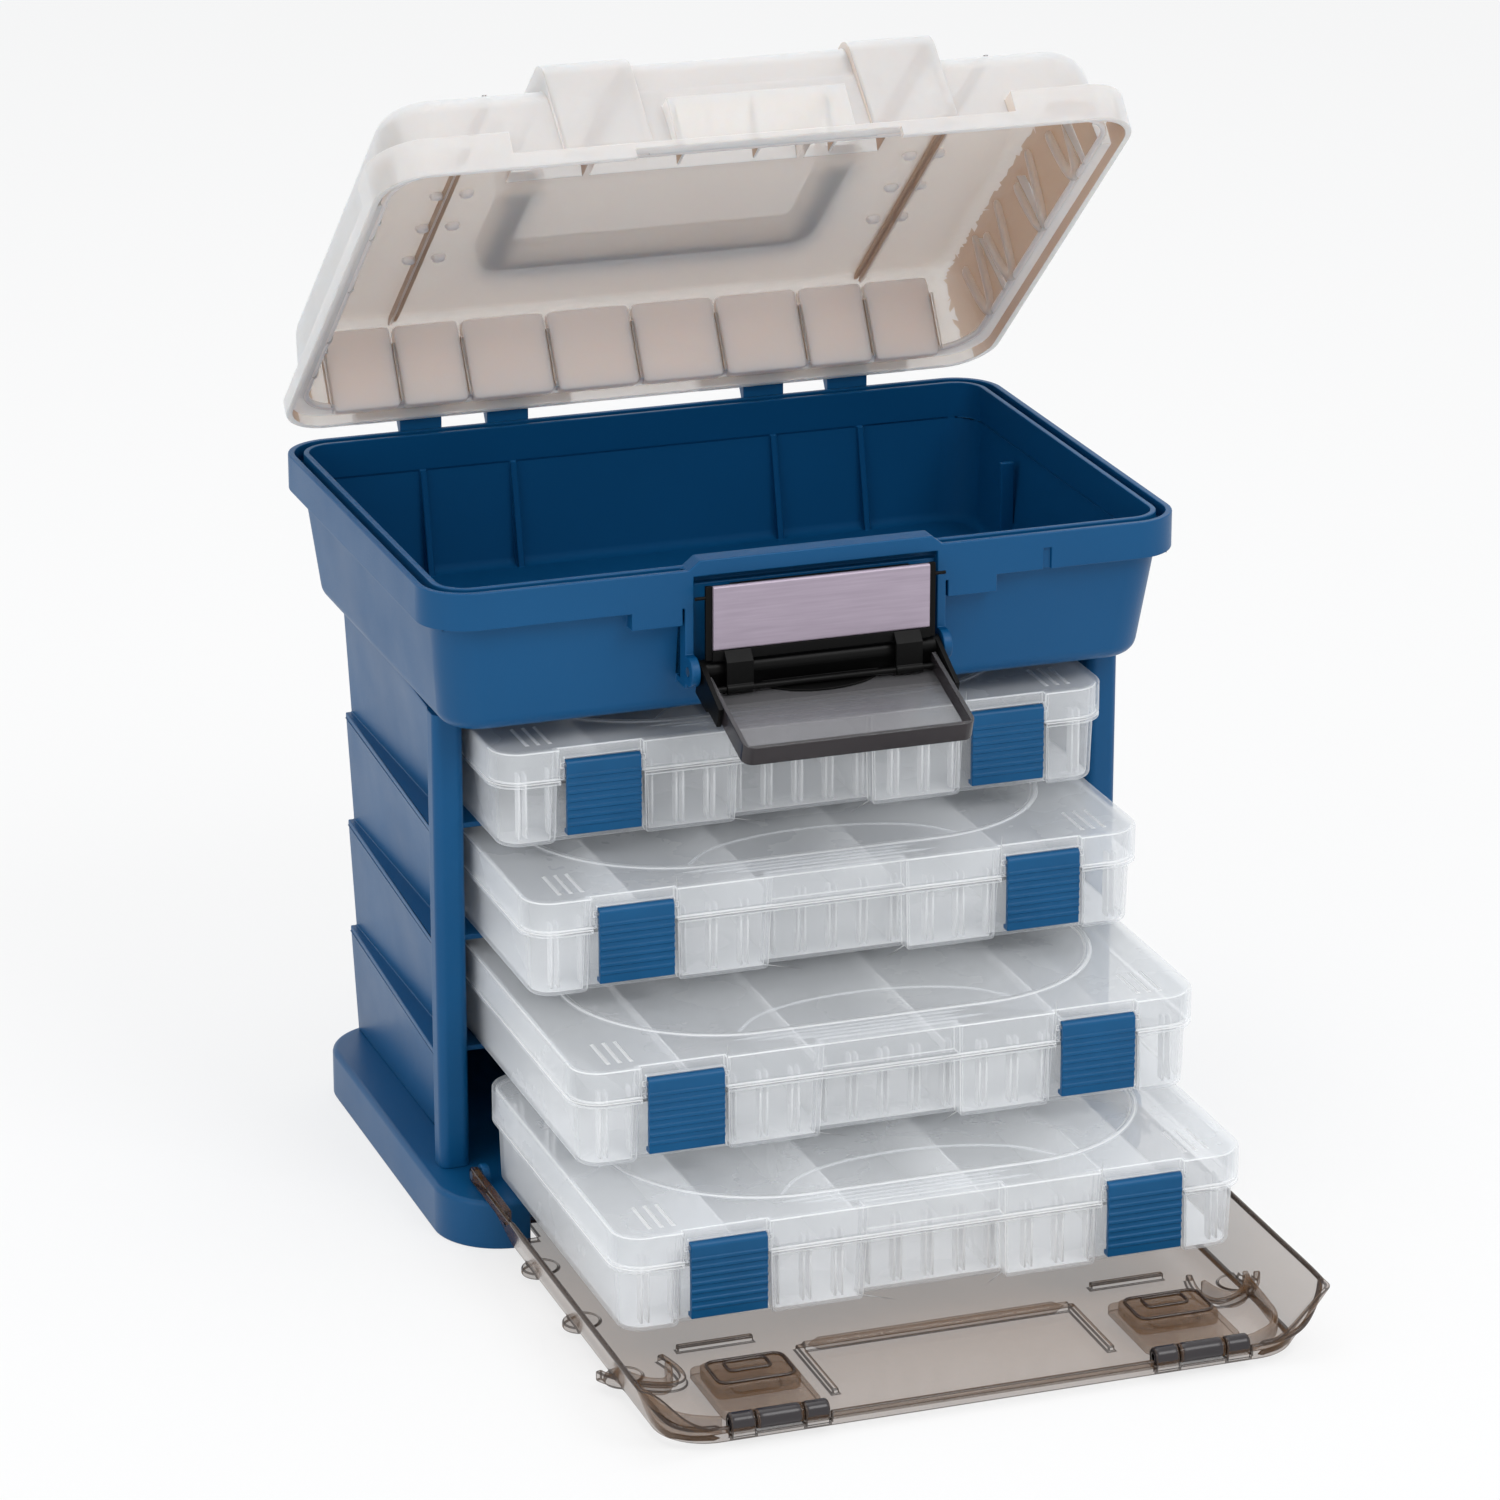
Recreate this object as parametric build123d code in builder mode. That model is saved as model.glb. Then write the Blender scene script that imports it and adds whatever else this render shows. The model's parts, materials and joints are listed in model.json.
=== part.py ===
# Tackle box: four pull-out utility boxes in a rack, under a top bin with a hinged lid.
# Millimetres. X runs to the right, Y to the back, Z up, from the middle of the plinth's underside.
# The box stands as it is seen: lid, front latch and door open, the four boxes drawn out.
import os
from math import cos, radians, sin

from build123d import *

# Fits between pieces
pin_clearance = 0.05
face_gap = 0.3
swing_gap = 0.6

# Plinth
plinth_width = 329
plinth_depth = 217
plinth_height = 22
plinth_corner = 30
plinth_edge = 2.5
plinth_wall = 3
plinth_rib = 2.4
plinth_rib_pitch = 46
plinth_ribs_across = 7
plinth_ribs_deep = 5
plinth_notch_width = 260
plinth_notch_depth = 22.5

# Rack: two scooped side walls with runners, and a back wall
box_count = 4
shelf_pitch = 51.5
shelf_thickness = 2.5
rack_wall = 2.4
rack_back_y = 103
rack_back_wall = 3
rack_front_y = -65.5
post_width = 13.5
post_depth = 13
post_corner = 4
post_half_width = 157
rack_back_half_width = 146
ledge_back_reach = 3
ledge_front_reach = 156
scoop_front = 10.5
scoop_back = 2.7
runner_reach = 8
top_ledge_gap = 4

# Top bin
rim_half_width = 170
rim_front = -107.5
rim_back = 132
rim_corner = 22
rim_band = 16.5
bin_height = 66.5
bin_top_half_width = 163.5
bin_top_front = -101.5
bin_top_back = 126
bin_bottom_half_width = 158
bin_bottom_front = -93
bin_bottom_back = 118
bin_corner = 18
bin_bottom_edge = 8
bin_wall = 3
bin_floor = 3
rim_lip = 3
rim_groove = 4
rim_groove_depth = 7
rim_inner_lip = 2.6
skirt_depth = 6
rim_crown_height = 4
rim_crown_half_width = 52
rim_crown_slope = 6
bin_rib_x = (62.5, 105)
bin_rib_thickness = 3
bin_rib_depth = 5
bin_side_rib_y = (-32, 60)
bin_side_rib_top = (252, 276)

# Pads in the rim band on each side of the front latch
pad_inner_x = 59.5
pad_outer_x = 82
pad_drop = 7.5
notch_x = 105
notch_width = 3.5
notch_height = 10

# Lid hinge on the back rim
hinge_pin_radius = 2
hinge_pin_back = 5
hinge_pin_rise = 7.5
knuckle_radius = 4.2
knuckle_length = 19.6
knuckle_pitch = 20.5
knuckle_group_x = 82

# Lid
lid_open_angle = 41.5
lid_wall = 2.2
lid_seat_gap = 0.5
lid_flange_height = 7
lid_flange_wall = 3
lid_flange_top = 2
lid_half_width = 164.5
lid_front = -101.5
lid_back = 127
lid_top_half_width = 159
lid_top_front = -95
lid_top_back = 122
lid_corner = 22
lid_top_rise = 38
lid_top_edge = 13
corner_band_x = 112
corner_band_rise = 10
corner_band_back = -70
crown_half_width = 50
crown_front = -100
crown_lean = 6.5
crown_rise = 47
crown_back = -7
crown_edge = 10
crown_pad_inner_x = 49
crown_pad_outer_x = 88
crown_pad_proud = 3.5
crown_pad_rise = 48.5
blank_half_width = 40
blank_face_y = -105.5
blank_rise = 21
lid_rib_x = (0, 40.5, 81, 113, 146)
lid_roof_rib_x = 113
lid_roof_rib_depth = 3
lid_rib_thickness = 1.4
lid_rib_depth = 4.5
lid_side_rib_y = (-55, 5, 65)
gusset_count = 3
gusset_pitch = 34
gusset_depth = 12
gusset_drop = 14

# Carry handle on the lid
handle_pivot_y = 7
handle_pivot_rise = 44
handle_outer_x = 80
handle_arm_width = 12
handle_thickness = 9
handle_length = 77
handle_grip_depth = 14
handle_edge = 3
handle_pin_radius = 2.5
handle_ear_thickness = 3
handle_ear_gap = 0.7
handle_ear_radius = 6.5

# Front latch: a lever on the bin carries a draw plate that hooks over the lid's flange
lever_axis_y = -110
lever_axis_z = 253.5
lever_drop_angle = 18
lever_pin_radius = 2
lug_thickness = 4
lug_radius = 6.5
lever_half_width = 54
lever_bar_radius = 4.5
lever_arm_thickness = 2.2
cover_half_width = 51.5
cover_length = 56.5
cover_start = 5
cover_depth = 9
cover_wall = 2.2
cover_corner = 5
thumb_half_width = 26
thumb_reach = 10
thumb_thickness = 1.1
draw_pin_u = 9.5
draw_pin_w = -4
draw_pin_radius = 1.4
draw_barrel_radius = 2.2
draw_plate_half_width = 48.5
draw_plate_thickness = 2
draw_frame_thickness = 0.6
draw_plate_back_y = -112.9
draw_plate_bottom = 263
draw_hook_top = 291.2
draw_hook_thickness = 2.6
draw_hook_reach = 2.5
draw_arm_x = 38
draw_arm_width = 12
draw_foot_height = 4.5
draw_rail_outer_x = 51.5
draw_rail_depth = 1.8
draw_stud_length = 4.7
draw_stud_size = 1.5
draw_stud_drop = 5
latch_recess_floor = -103.5
latch_recess_bottom = 248
latch_recess_top = 294

# Utility boxes
box_half_width = 139.5
box_depth = 184
box_height = 44.5
box_corner = 14
box_wall = 1.6
box_lid_height = 14.5
box_home_y = -85
box_drawn = (11.7, 54.7, 118.7, 171.7)
box_rest_gap = 0.3
tray_inset = 2.2
tray_flange = 2
tray_draft = 2
tray_edge = 2.5
latch_x = 91.8
latch_width = 33.2
latch_height = 33.4
latch_bottom = 5.6
latch_thickness = 2.2
latch_barrel_radius = 2.4
latch_pin_radius = 1
latch_side_gap = 0.3
latch_pocket_depth = 3.4
latch_pocket_cheek = 1.6
latch_rib_count = 7
latch_rib_pitch = 3.6
latch_rib_height = 1.5
latch_rib_proud = 0.5
latch_hook_reach = 2.2
latch_hook_height = 2
catch_height = 2
hand_hold_half_width = 30
hand_hold_depth = 6
divider_thickness = 1.2
divider_pitch = 56
divider_count = 4
divider_height = 30
divider_front = 13
divider_back = 176
lid_bead = 0.5
lid_bead_width = 2
lid_oval_width = 236
lid_oval_depth = 148
lid_oval_corner = 68
lid_mark_count = 3
lid_mark_pitch = 5
lid_mark_length = 22

# Fold-down front door
door_axis_y = -84
door_axis_z = 26
door_face_z = 2.5
door_skin = 2.5
door_face_half_width = 139
door_top_half_width = 151
door_wall = 2.2
door_wall_top = 29
door_free_edge_y = -321
door_tongue_half_width = 127
door_tongue_back_y = -89
door_skirt_back_y = -110
door_edge_wall_height = 9
door_corner = 22
door_top_corner = 7
door_low_half_width = 116
door_flange_inner_x = 147
door_lobe_radius = 8
door_lobe_thickness = 3
door_lobe_y = (-141, -198, -254)
door_arm_height = 6
door_arm_thickness = 3.6
door_arm_radius = 3.4
door_pin_radius = 2
door_ear_thickness = 3.4
door_ear_x = 141.6
door_ear_radius = 4.5
door_rib_height = 5
door_rib_thickness = 3
door_panel_half_width = 59
door_panel_back_y = -254
door_s_rib = ((118, -246), (124, -273), (135, -267), (146.5, -252))
door_s_rib_height = 3.5
door_stop_y = -238
door_stop_height = 3

# Door latches at the free edge
door_latch_x = 92
door_latch_width = 42
door_latch_length = 51
door_latch_thickness = 4
door_latch_edge = 1
door_latch_axis_y = -317.5
door_latch_axis_z = 9.2
door_latch_barrel_radius = 4
door_latch_pin_radius = 1.5
door_latch_middle = 20
door_latch_slot = 0.5

# Heights and lines that follow
rack_top = plinth_height + box_count * shelf_pitch + shelf_thickness
bin_bottom = rack_top
rim_top = bin_bottom + bin_height
band_bottom = rim_top - rim_band
hinge_y = rim_back + hinge_pin_back
hinge_z = rim_top + hinge_pin_rise
lid_bottom = rim_top + lid_seat_gap
lid_top = hinge_z + lid_top_rise
lid_hinge_axis = Axis((0, hinge_y, hinge_z), (1, 0, 0))
lever_axis = Axis((0, lever_axis_y, lever_axis_z), (1, 0, 0))


def outline(half_width, front, back, radius):
    """Rounded rectangle between two lines across the case, in the current sketch."""
    with Locations((0, (front + back) / 2)):
        RectangleRounded(2 * half_width, back - front, radius)


def rod(radius, x_start, x_end, y, z):
    """Round bar along X."""
    with BuildPart() as bar:
        with BuildSketch(Plane.YZ.offset(x_start)):
            with Locations((y, z)):
                Circle(radius)
        extrude(amount=x_end - x_start)
    return bar.part


def slab(x_start, x_end, y_start, y_end, z_start, z_end):
    """Plain block between six faces."""
    with BuildPart() as block:
        with Locations(((x_start + x_end) / 2, (y_start + y_end) / 2, (z_start + z_end) / 2)):
            Box(x_end - x_start, y_end - y_start, z_end - z_start)
    return block.part


def side_profile(points, x_start, x_end):
    """Block with a side outline of (y, z) points, from one X to another."""
    with BuildPart() as block:
        with BuildSketch(Plane.YZ.offset(x_start)):
            with BuildLine():
                Polyline(*points, close=True)
            make_face()
        extrude(amount=x_end - x_start)
    return block.part


def save(piece, name):
    """Label a finished piece and write it out."""
    piece.part.label = name
    export_step(piece.part, f"parts/{name}.step")


os.makedirs("parts", exist_ok=True)

# Plinth: a ribbed shell open below, notched in front for the door, with ears for the door pins
plinth_front = -plinth_depth / 2


def plinth_outline():
    """Plan of the plinth with the notch that the door's foot swings in."""
    RectangleRounded(plinth_width, plinth_depth, plinth_corner)
    with Locations((0, plinth_front + plinth_notch_depth / 2)):
        Rectangle(plinth_notch_width, plinth_notch_depth, mode=Mode.SUBTRACT)


with BuildPart() as plinth:
    with BuildSketch():
        plinth_outline()
    extrude(amount=plinth_height)
    fillet(plinth.edges().group_by(Axis.Z)[-1], plinth_edge)
    with BuildSketch():
        plinth_outline()
        offset(amount=-plinth_wall, kind=Kind.INTERSECTION)
    extrude(amount=plinth_height - plinth_wall, mode=Mode.SUBTRACT)
    with BuildSketch():
        with GridLocations(plinth_rib_pitch, 0, plinth_ribs_across, 1):
            Rectangle(plinth_rib, plinth_depth)
        with GridLocations(0, plinth_rib_pitch, 1, plinth_ribs_deep):
            Rectangle(plinth_width, plinth_rib)
        with BuildSketch(mode=Mode.PRIVATE) as rib_limit:
            plinth_outline()
            offset(amount=-plinth_wall / 2, kind=Kind.INTERSECTION)
        add(rib_limit.sketch, mode=Mode.INTERSECT)
    extrude(amount=plinth_height - plinth_wall / 2)
    for side in (-1, 1):
        ear_near = side * door_ear_x
        ear_far = side * (door_ear_x + door_ear_thickness)
        ear_x = (min(ear_near, ear_far), max(ear_near, ear_far))
        add(rod(door_ear_radius, *ear_x, door_axis_y, door_axis_z))
        add(slab(*ear_x, door_axis_y - door_ear_radius, door_axis_y + door_ear_radius,
                 plinth_height - plinth_wall / 2, door_axis_z))
        add(rod(door_pin_radius, *ear_x, door_axis_y, door_axis_z), mode=Mode.SUBTRACT)
save(plinth, "plinth")


# Rack side wall: a front post, four leaning scooped panels, and a runner at each shelf
post_back_y = rack_front_y + post_depth


def wall_section(y, outer_top, outer_bottom, bottom, top):
    """Cut across one leaning panel, upright in the XZ plane at the given Y."""
    with BuildSketch(Plane.XZ.offset(-y)) as section:
        with BuildLine():
            Polyline((outer_bottom, bottom), (outer_top, top),
                     (outer_top - rack_wall, top), (outer_bottom - rack_wall, bottom), close=True)
        make_face()
    return section.sketch


def shelf_plate(z, inner_x):
    """Level plate between the post and the back of the rack."""
    with BuildPart() as plate:
        with BuildSketch(Plane.XY.offset(z - shelf_thickness)):
            with BuildLine():
                Polyline((inner_x, post_back_y - 1), (ledge_front_reach, post_back_y - 1),
                         (rack_back_half_width + ledge_back_reach, rack_back_y),
                         (inner_x, rack_back_y), close=True)
            make_face()
        extrude(amount=shelf_thickness)
    return plate.part


with BuildPart() as right_wall:
    with BuildSketch(Plane.XY.offset(plinth_height)):
        with Locations((post_half_width - post_width / 2, rack_front_y + post_depth / 2)):
            RectangleRounded(post_width, post_depth, post_corner)
    extrude(amount=rack_top - plinth_height)
    for bay in range(box_count):
        bay_bottom = plinth_height + bay * shelf_pitch
        bay_top = bay_bottom + shelf_pitch
        back_reach = rack_back_half_width + ledge_back_reach
        loft(sections=[
            wall_section(post_back_y - 1, ledge_front_reach, ledge_front_reach - scoop_front,
                         bay_bottom, bay_top),
            wall_section(rack_back_y, back_reach, back_reach - scoop_back, bay_bottom, bay_top),
        ])
        if bay:
            add(shelf_plate(bay_bottom, box_half_width - runner_reach))
    add(shelf_plate(rack_top, box_half_width + top_ledge_gap))
save(right_wall, "rack_wall_right")

with BuildPart() as left_wall:
    add(right_wall.part.mirror(Plane.YZ))
save(left_wall, "rack_wall_left")

with BuildPart() as rack_back:
    back_half_width = rack_back_half_width + ledge_back_reach - scoop_back - rack_wall - face_gap
    add(slab(-back_half_width, back_half_width, rack_back_y - rack_back_wall, rack_back_y,
             plinth_height, rack_top))
    for bay in range(1, box_count):
        shelf_z = plinth_height + bay * shelf_pitch
        for side in (-1, 1):
            inner = side * (box_half_width - runner_reach - face_gap)
            outer = side * back_half_width
            add(slab(min(inner, outer), max(inner, outer), rack_back_y - rack_back_wall, rack_back_y,
                     shelf_z - shelf_thickness - face_gap, shelf_z + face_gap), mode=Mode.SUBTRACT)
    top_inner = box_half_width + top_ledge_gap - face_gap
    for side in (-1, 1):
        edges = sorted((side * top_inner, side * back_half_width))
        add(slab(*edges, rack_back_y - rack_back_wall, rack_back_y,
                 rack_top - shelf_thickness - face_gap, rack_top), mode=Mode.SUBTRACT)
save(rack_back, "rack_back")


# Top bin: a drafted tub with a grooved rim, hinge knuckles behind and the latch lugs in front
def tub(inset, bottom, top_z):
    """Drafted inside or outside of the bin, up to the underside of the rim band and beyond."""
    with BuildPart() as shape:
        with BuildSketch(Plane.XY.offset(bottom)):
            outline(bin_bottom_half_width - inset, bin_bottom_front + inset,
                    bin_bottom_back - inset, bin_corner - inset)
        with BuildSketch(Plane.XY.offset(top_z)):
            outline(bin_top_half_width - inset, bin_top_front + inset,
                    bin_top_back - inset, bin_corner - inset)
        loft()
        fillet(shape.edges().group_by(Axis.Z)[0], bin_bottom_edge - inset)
    return shape.part


def rim_ring(outer_inset, inner_inset, bottom, top_z):
    """Ring that follows the rim between two insets."""
    with BuildPart() as ring:
        with BuildSketch(Plane.XY.offset(bottom)):
            outline(rim_half_width - outer_inset, rim_front + outer_inset,
                    rim_back - outer_inset, rim_corner - outer_inset)
            with BuildSketch(mode=Mode.PRIVATE) as hole:
                outline(rim_half_width - inner_inset, rim_front + inner_inset,
                        rim_back - inner_inset, rim_corner - inner_inset)
            add(hole.sketch, mode=Mode.SUBTRACT)
        extrude(amount=top_z - bottom)
    return ring.part


groove_inner = rim_lip + rim_groove
mouth_inset = groove_inner + rim_inner_lip
lug_outer_x = lever_half_width + swing_gap + lug_thickness

with BuildPart() as top_bin:
    add(tub(0, bin_bottom, band_bottom))
    with BuildSketch(Plane.XY.offset(band_bottom)):
        outline(rim_half_width, rim_front, rim_back, rim_corner)
    extrude(amount=rim_band)
    add(tub(bin_wall, bin_bottom + bin_floor, band_bottom), mode=Mode.SUBTRACT)
    with BuildSketch(Plane.XY.offset(band_bottom)):
        outline(rim_half_width - mouth_inset, rim_front + mouth_inset,
                rim_back - mouth_inset, rim_corner - mouth_inset)
    extrude(amount=rim_band, mode=Mode.SUBTRACT)
    add(rim_ring(rim_lip, groove_inner, rim_top - rim_groove_depth, rim_top), mode=Mode.SUBTRACT)
    skirt_inner = rim_half_width - bin_top_half_width
    add(rim_ring(rim_lip, skirt_inner, band_bottom, band_bottom + skirt_depth), mode=Mode.SUBTRACT)

    # Ribs inside the back wall and the right and left walls, leaning with them
    for rib_x in bin_rib_x:
        for side in (-1, 1):
            add(side_profile(((bin_bottom_back - bin_wall / 2, bin_bottom + bin_floor / 2),
                              (bin_top_back - bin_wall / 2, band_bottom),
                              (bin_top_back - bin_rib_depth, band_bottom),
                              (bin_bottom_back - bin_wall - bin_rib_depth, bin_bottom + bin_floor / 2)),
                             side * rib_x - bin_rib_thickness / 2, side * rib_x + bin_rib_thickness / 2))
    for rib_y, rib_top in zip(bin_side_rib_y, bin_side_rib_top):
        for side in (-1, 1):
            near = side * (bin_bottom_half_width - bin_wall - bin_rib_depth)
            far = side * (bin_bottom_half_width - bin_wall / 2)
            add(slab(min(near, far), max(near, far), rib_y - bin_rib_thickness / 2,
                     rib_y + bin_rib_thickness / 2, bin_bottom + bin_floor / 2 + 1, rib_top))

    # Raised middle of the front rim
    crown_points = ((-rim_crown_half_width - rim_crown_slope, rim_top - 1),
                    (rim_crown_half_width + rim_crown_slope, rim_top - 1),
                    (rim_crown_half_width, rim_top + rim_crown_height),
                    (-rim_crown_half_width, rim_top + rim_crown_height))
    with BuildSketch(Plane.XZ.offset(-rim_front)):
        with BuildLine():
            Polyline(*crown_points, close=True)
        make_face()
    extrude(amount=-mouth_inset)

    # Deep pads beside the latch, and the latch block with its recess and lugs
    for side in (-1, 1):
        pad = sorted((side * pad_inner_x, side * pad_outer_x))
        add(slab(*pad, rim_front, bin_top_front + bin_wall / 2, band_bottom - pad_drop, band_bottom + 1))
        add(slab(*pad, rim_front, rim_front + mouth_inset, band_bottom, rim_top - rim_groove_depth))
    add(slab(-lug_outer_x, lug_outer_x, rim_front, bin_top_front + bin_wall / 2,
             latch_recess_bottom - bin_wall, rim_top - rim_groove_depth))
    add(slab(-lug_outer_x, lug_outer_x, bin_top_front - 1, bin_bottom_front + bin_wall,
             latch_recess_bottom - bin_wall, latch_recess_bottom))
    add(slab(-lever_half_width - swing_gap, lever_half_width + swing_gap, rim_front,
             latch_recess_floor, latch_recess_bottom - bin_wall, latch_recess_top),
        mode=Mode.SUBTRACT)
    for side in (-1, 1):
        lug = sorted((side * (lever_half_width + swing_gap), side * lug_outer_x))
        add(rod(lug_radius, *lug, lever_axis_y, lever_axis_z))
        add(slab(*lug, lever_axis_y, bin_top_front, lever_axis_z - lug_radius,
                 lever_axis_z + lug_radius))
        add(rod(lever_pin_radius, *lug, lever_axis_y, lever_axis_z), mode=Mode.SUBTRACT)
    add(slab(notch_x - notch_width / 2, notch_x + notch_width / 2, rim_front, rim_front + rim_lip / 2,
             rim_top - rim_groove_depth - notch_height, rim_top - rim_groove_depth),
        mode=Mode.SUBTRACT)

    # Hinge knuckles that stand on the back rim
    for group in (-1, 1):
        for step in (-1, 1):
            middle = group * knuckle_group_x + step * knuckle_pitch
            ends = (middle - knuckle_length / 2, middle + knuckle_length / 2)
            add(rod(knuckle_radius, *ends, hinge_y, hinge_z))
            slant = knuckle_radius * sin(radians(45))
            add(side_profile(((rim_back - rim_lip, rim_top - rim_lip),
                              (rim_back - rim_lip, rim_top - rim_band / 2),
                              (rim_back, rim_top - rim_band / 2), (hinge_y + slant, hinge_z - slant),
                              (hinge_y, hinge_z), (rim_back + face_gap, hinge_z),
                              (rim_back + face_gap, rim_top - rim_lip)), *ends))
            add(rod(hinge_pin_radius, *ends, hinge_y, hinge_z), mode=Mode.SUBTRACT)
save(top_bin, "top_bin")

with BuildPart() as lid_hinge_pins:
    pin_reach = 2 * knuckle_pitch + knuckle_length / 2
    for group in (-1, 1):
        middle = group * knuckle_group_x
        add(rod(hinge_pin_radius, middle - pin_reach, middle + pin_reach, hinge_y, hinge_z))
save(lid_hinge_pins, "lid_hinge_pins")


# Lid, made shut on the rim and then swung open on its hinge
def lid_dome(inset):
    """Outside or, with an inset, inside of the domed lid with its crown and crown pads."""
    with BuildPart() as dome:
        with BuildSketch(Plane.XY.offset(lid_bottom)):
            outline(lid_half_width - inset, lid_front + inset, lid_back - inset, lid_corner - inset)
        with BuildSketch(Plane.XY.offset(lid_top - inset)):
            outline(lid_top_half_width - inset, lid_top_front + inset,
                    lid_top_back - inset, lid_corner - inset)
        loft()
        fillet(dome.edges().group_by(Axis.Z)[-1], lid_top_edge - inset)
        for front, rise, reach in (
                (crown_front, crown_rise, (-crown_half_width, crown_half_width)),
                (crown_front - crown_pad_proud, crown_pad_rise, (crown_pad_inner_x, crown_pad_outer_x)),
                (crown_front - crown_pad_proud, crown_pad_rise, (-crown_pad_outer_x, -crown_pad_inner_x))):
            top = hinge_z + rise - inset
            with BuildSketch(Plane.YZ.offset(reach[0] + inset)):
                with BuildLine():
                    Polyline((front + inset, lid_bottom), (front + crown_lean + inset, top),
                             (crown_back - crown_edge / 2 - inset, top),
                             (crown_back - inset, lid_top - 2 * inset),
                             (crown_back - inset, lid_bottom), close=True)
                face = make_face()
                fillet(face.vertices().group_by(Axis.Z)[-1], crown_edge - inset)
            extrude(amount=reach[1] - reach[0] - 2 * inset)
    return dome.part


def lid_band(inset, top_z):
    """Flange outline of the lid, upright, from its lower edge."""
    with BuildPart() as band:
        with BuildSketch(Plane.XY.offset(lid_bottom)):
            outline(rim_half_width - inset, rim_front + inset, rim_back - inset, rim_corner - inset)
        extrude(amount=top_z - lid_bottom)
    return band.part


flange_top = lid_bottom + lid_flange_height
band_top = flange_top + corner_band_rise
rim_clearance_x = rim_crown_half_width + rim_crown_slope + 2 * swing_gap
ear_middle_x = handle_outer_x - handle_arm_width / 2
handle_z = hinge_z + handle_pivot_rise
ear_inner = (ear_middle_x - handle_arm_width / 2 - handle_ear_gap - handle_ear_thickness,
             ear_middle_x - handle_arm_width / 2 - handle_ear_gap)
ear_outer = (ear_middle_x + handle_arm_width / 2 + handle_ear_gap,
             ear_middle_x + handle_arm_width / 2 + handle_ear_gap + handle_ear_thickness)

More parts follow.
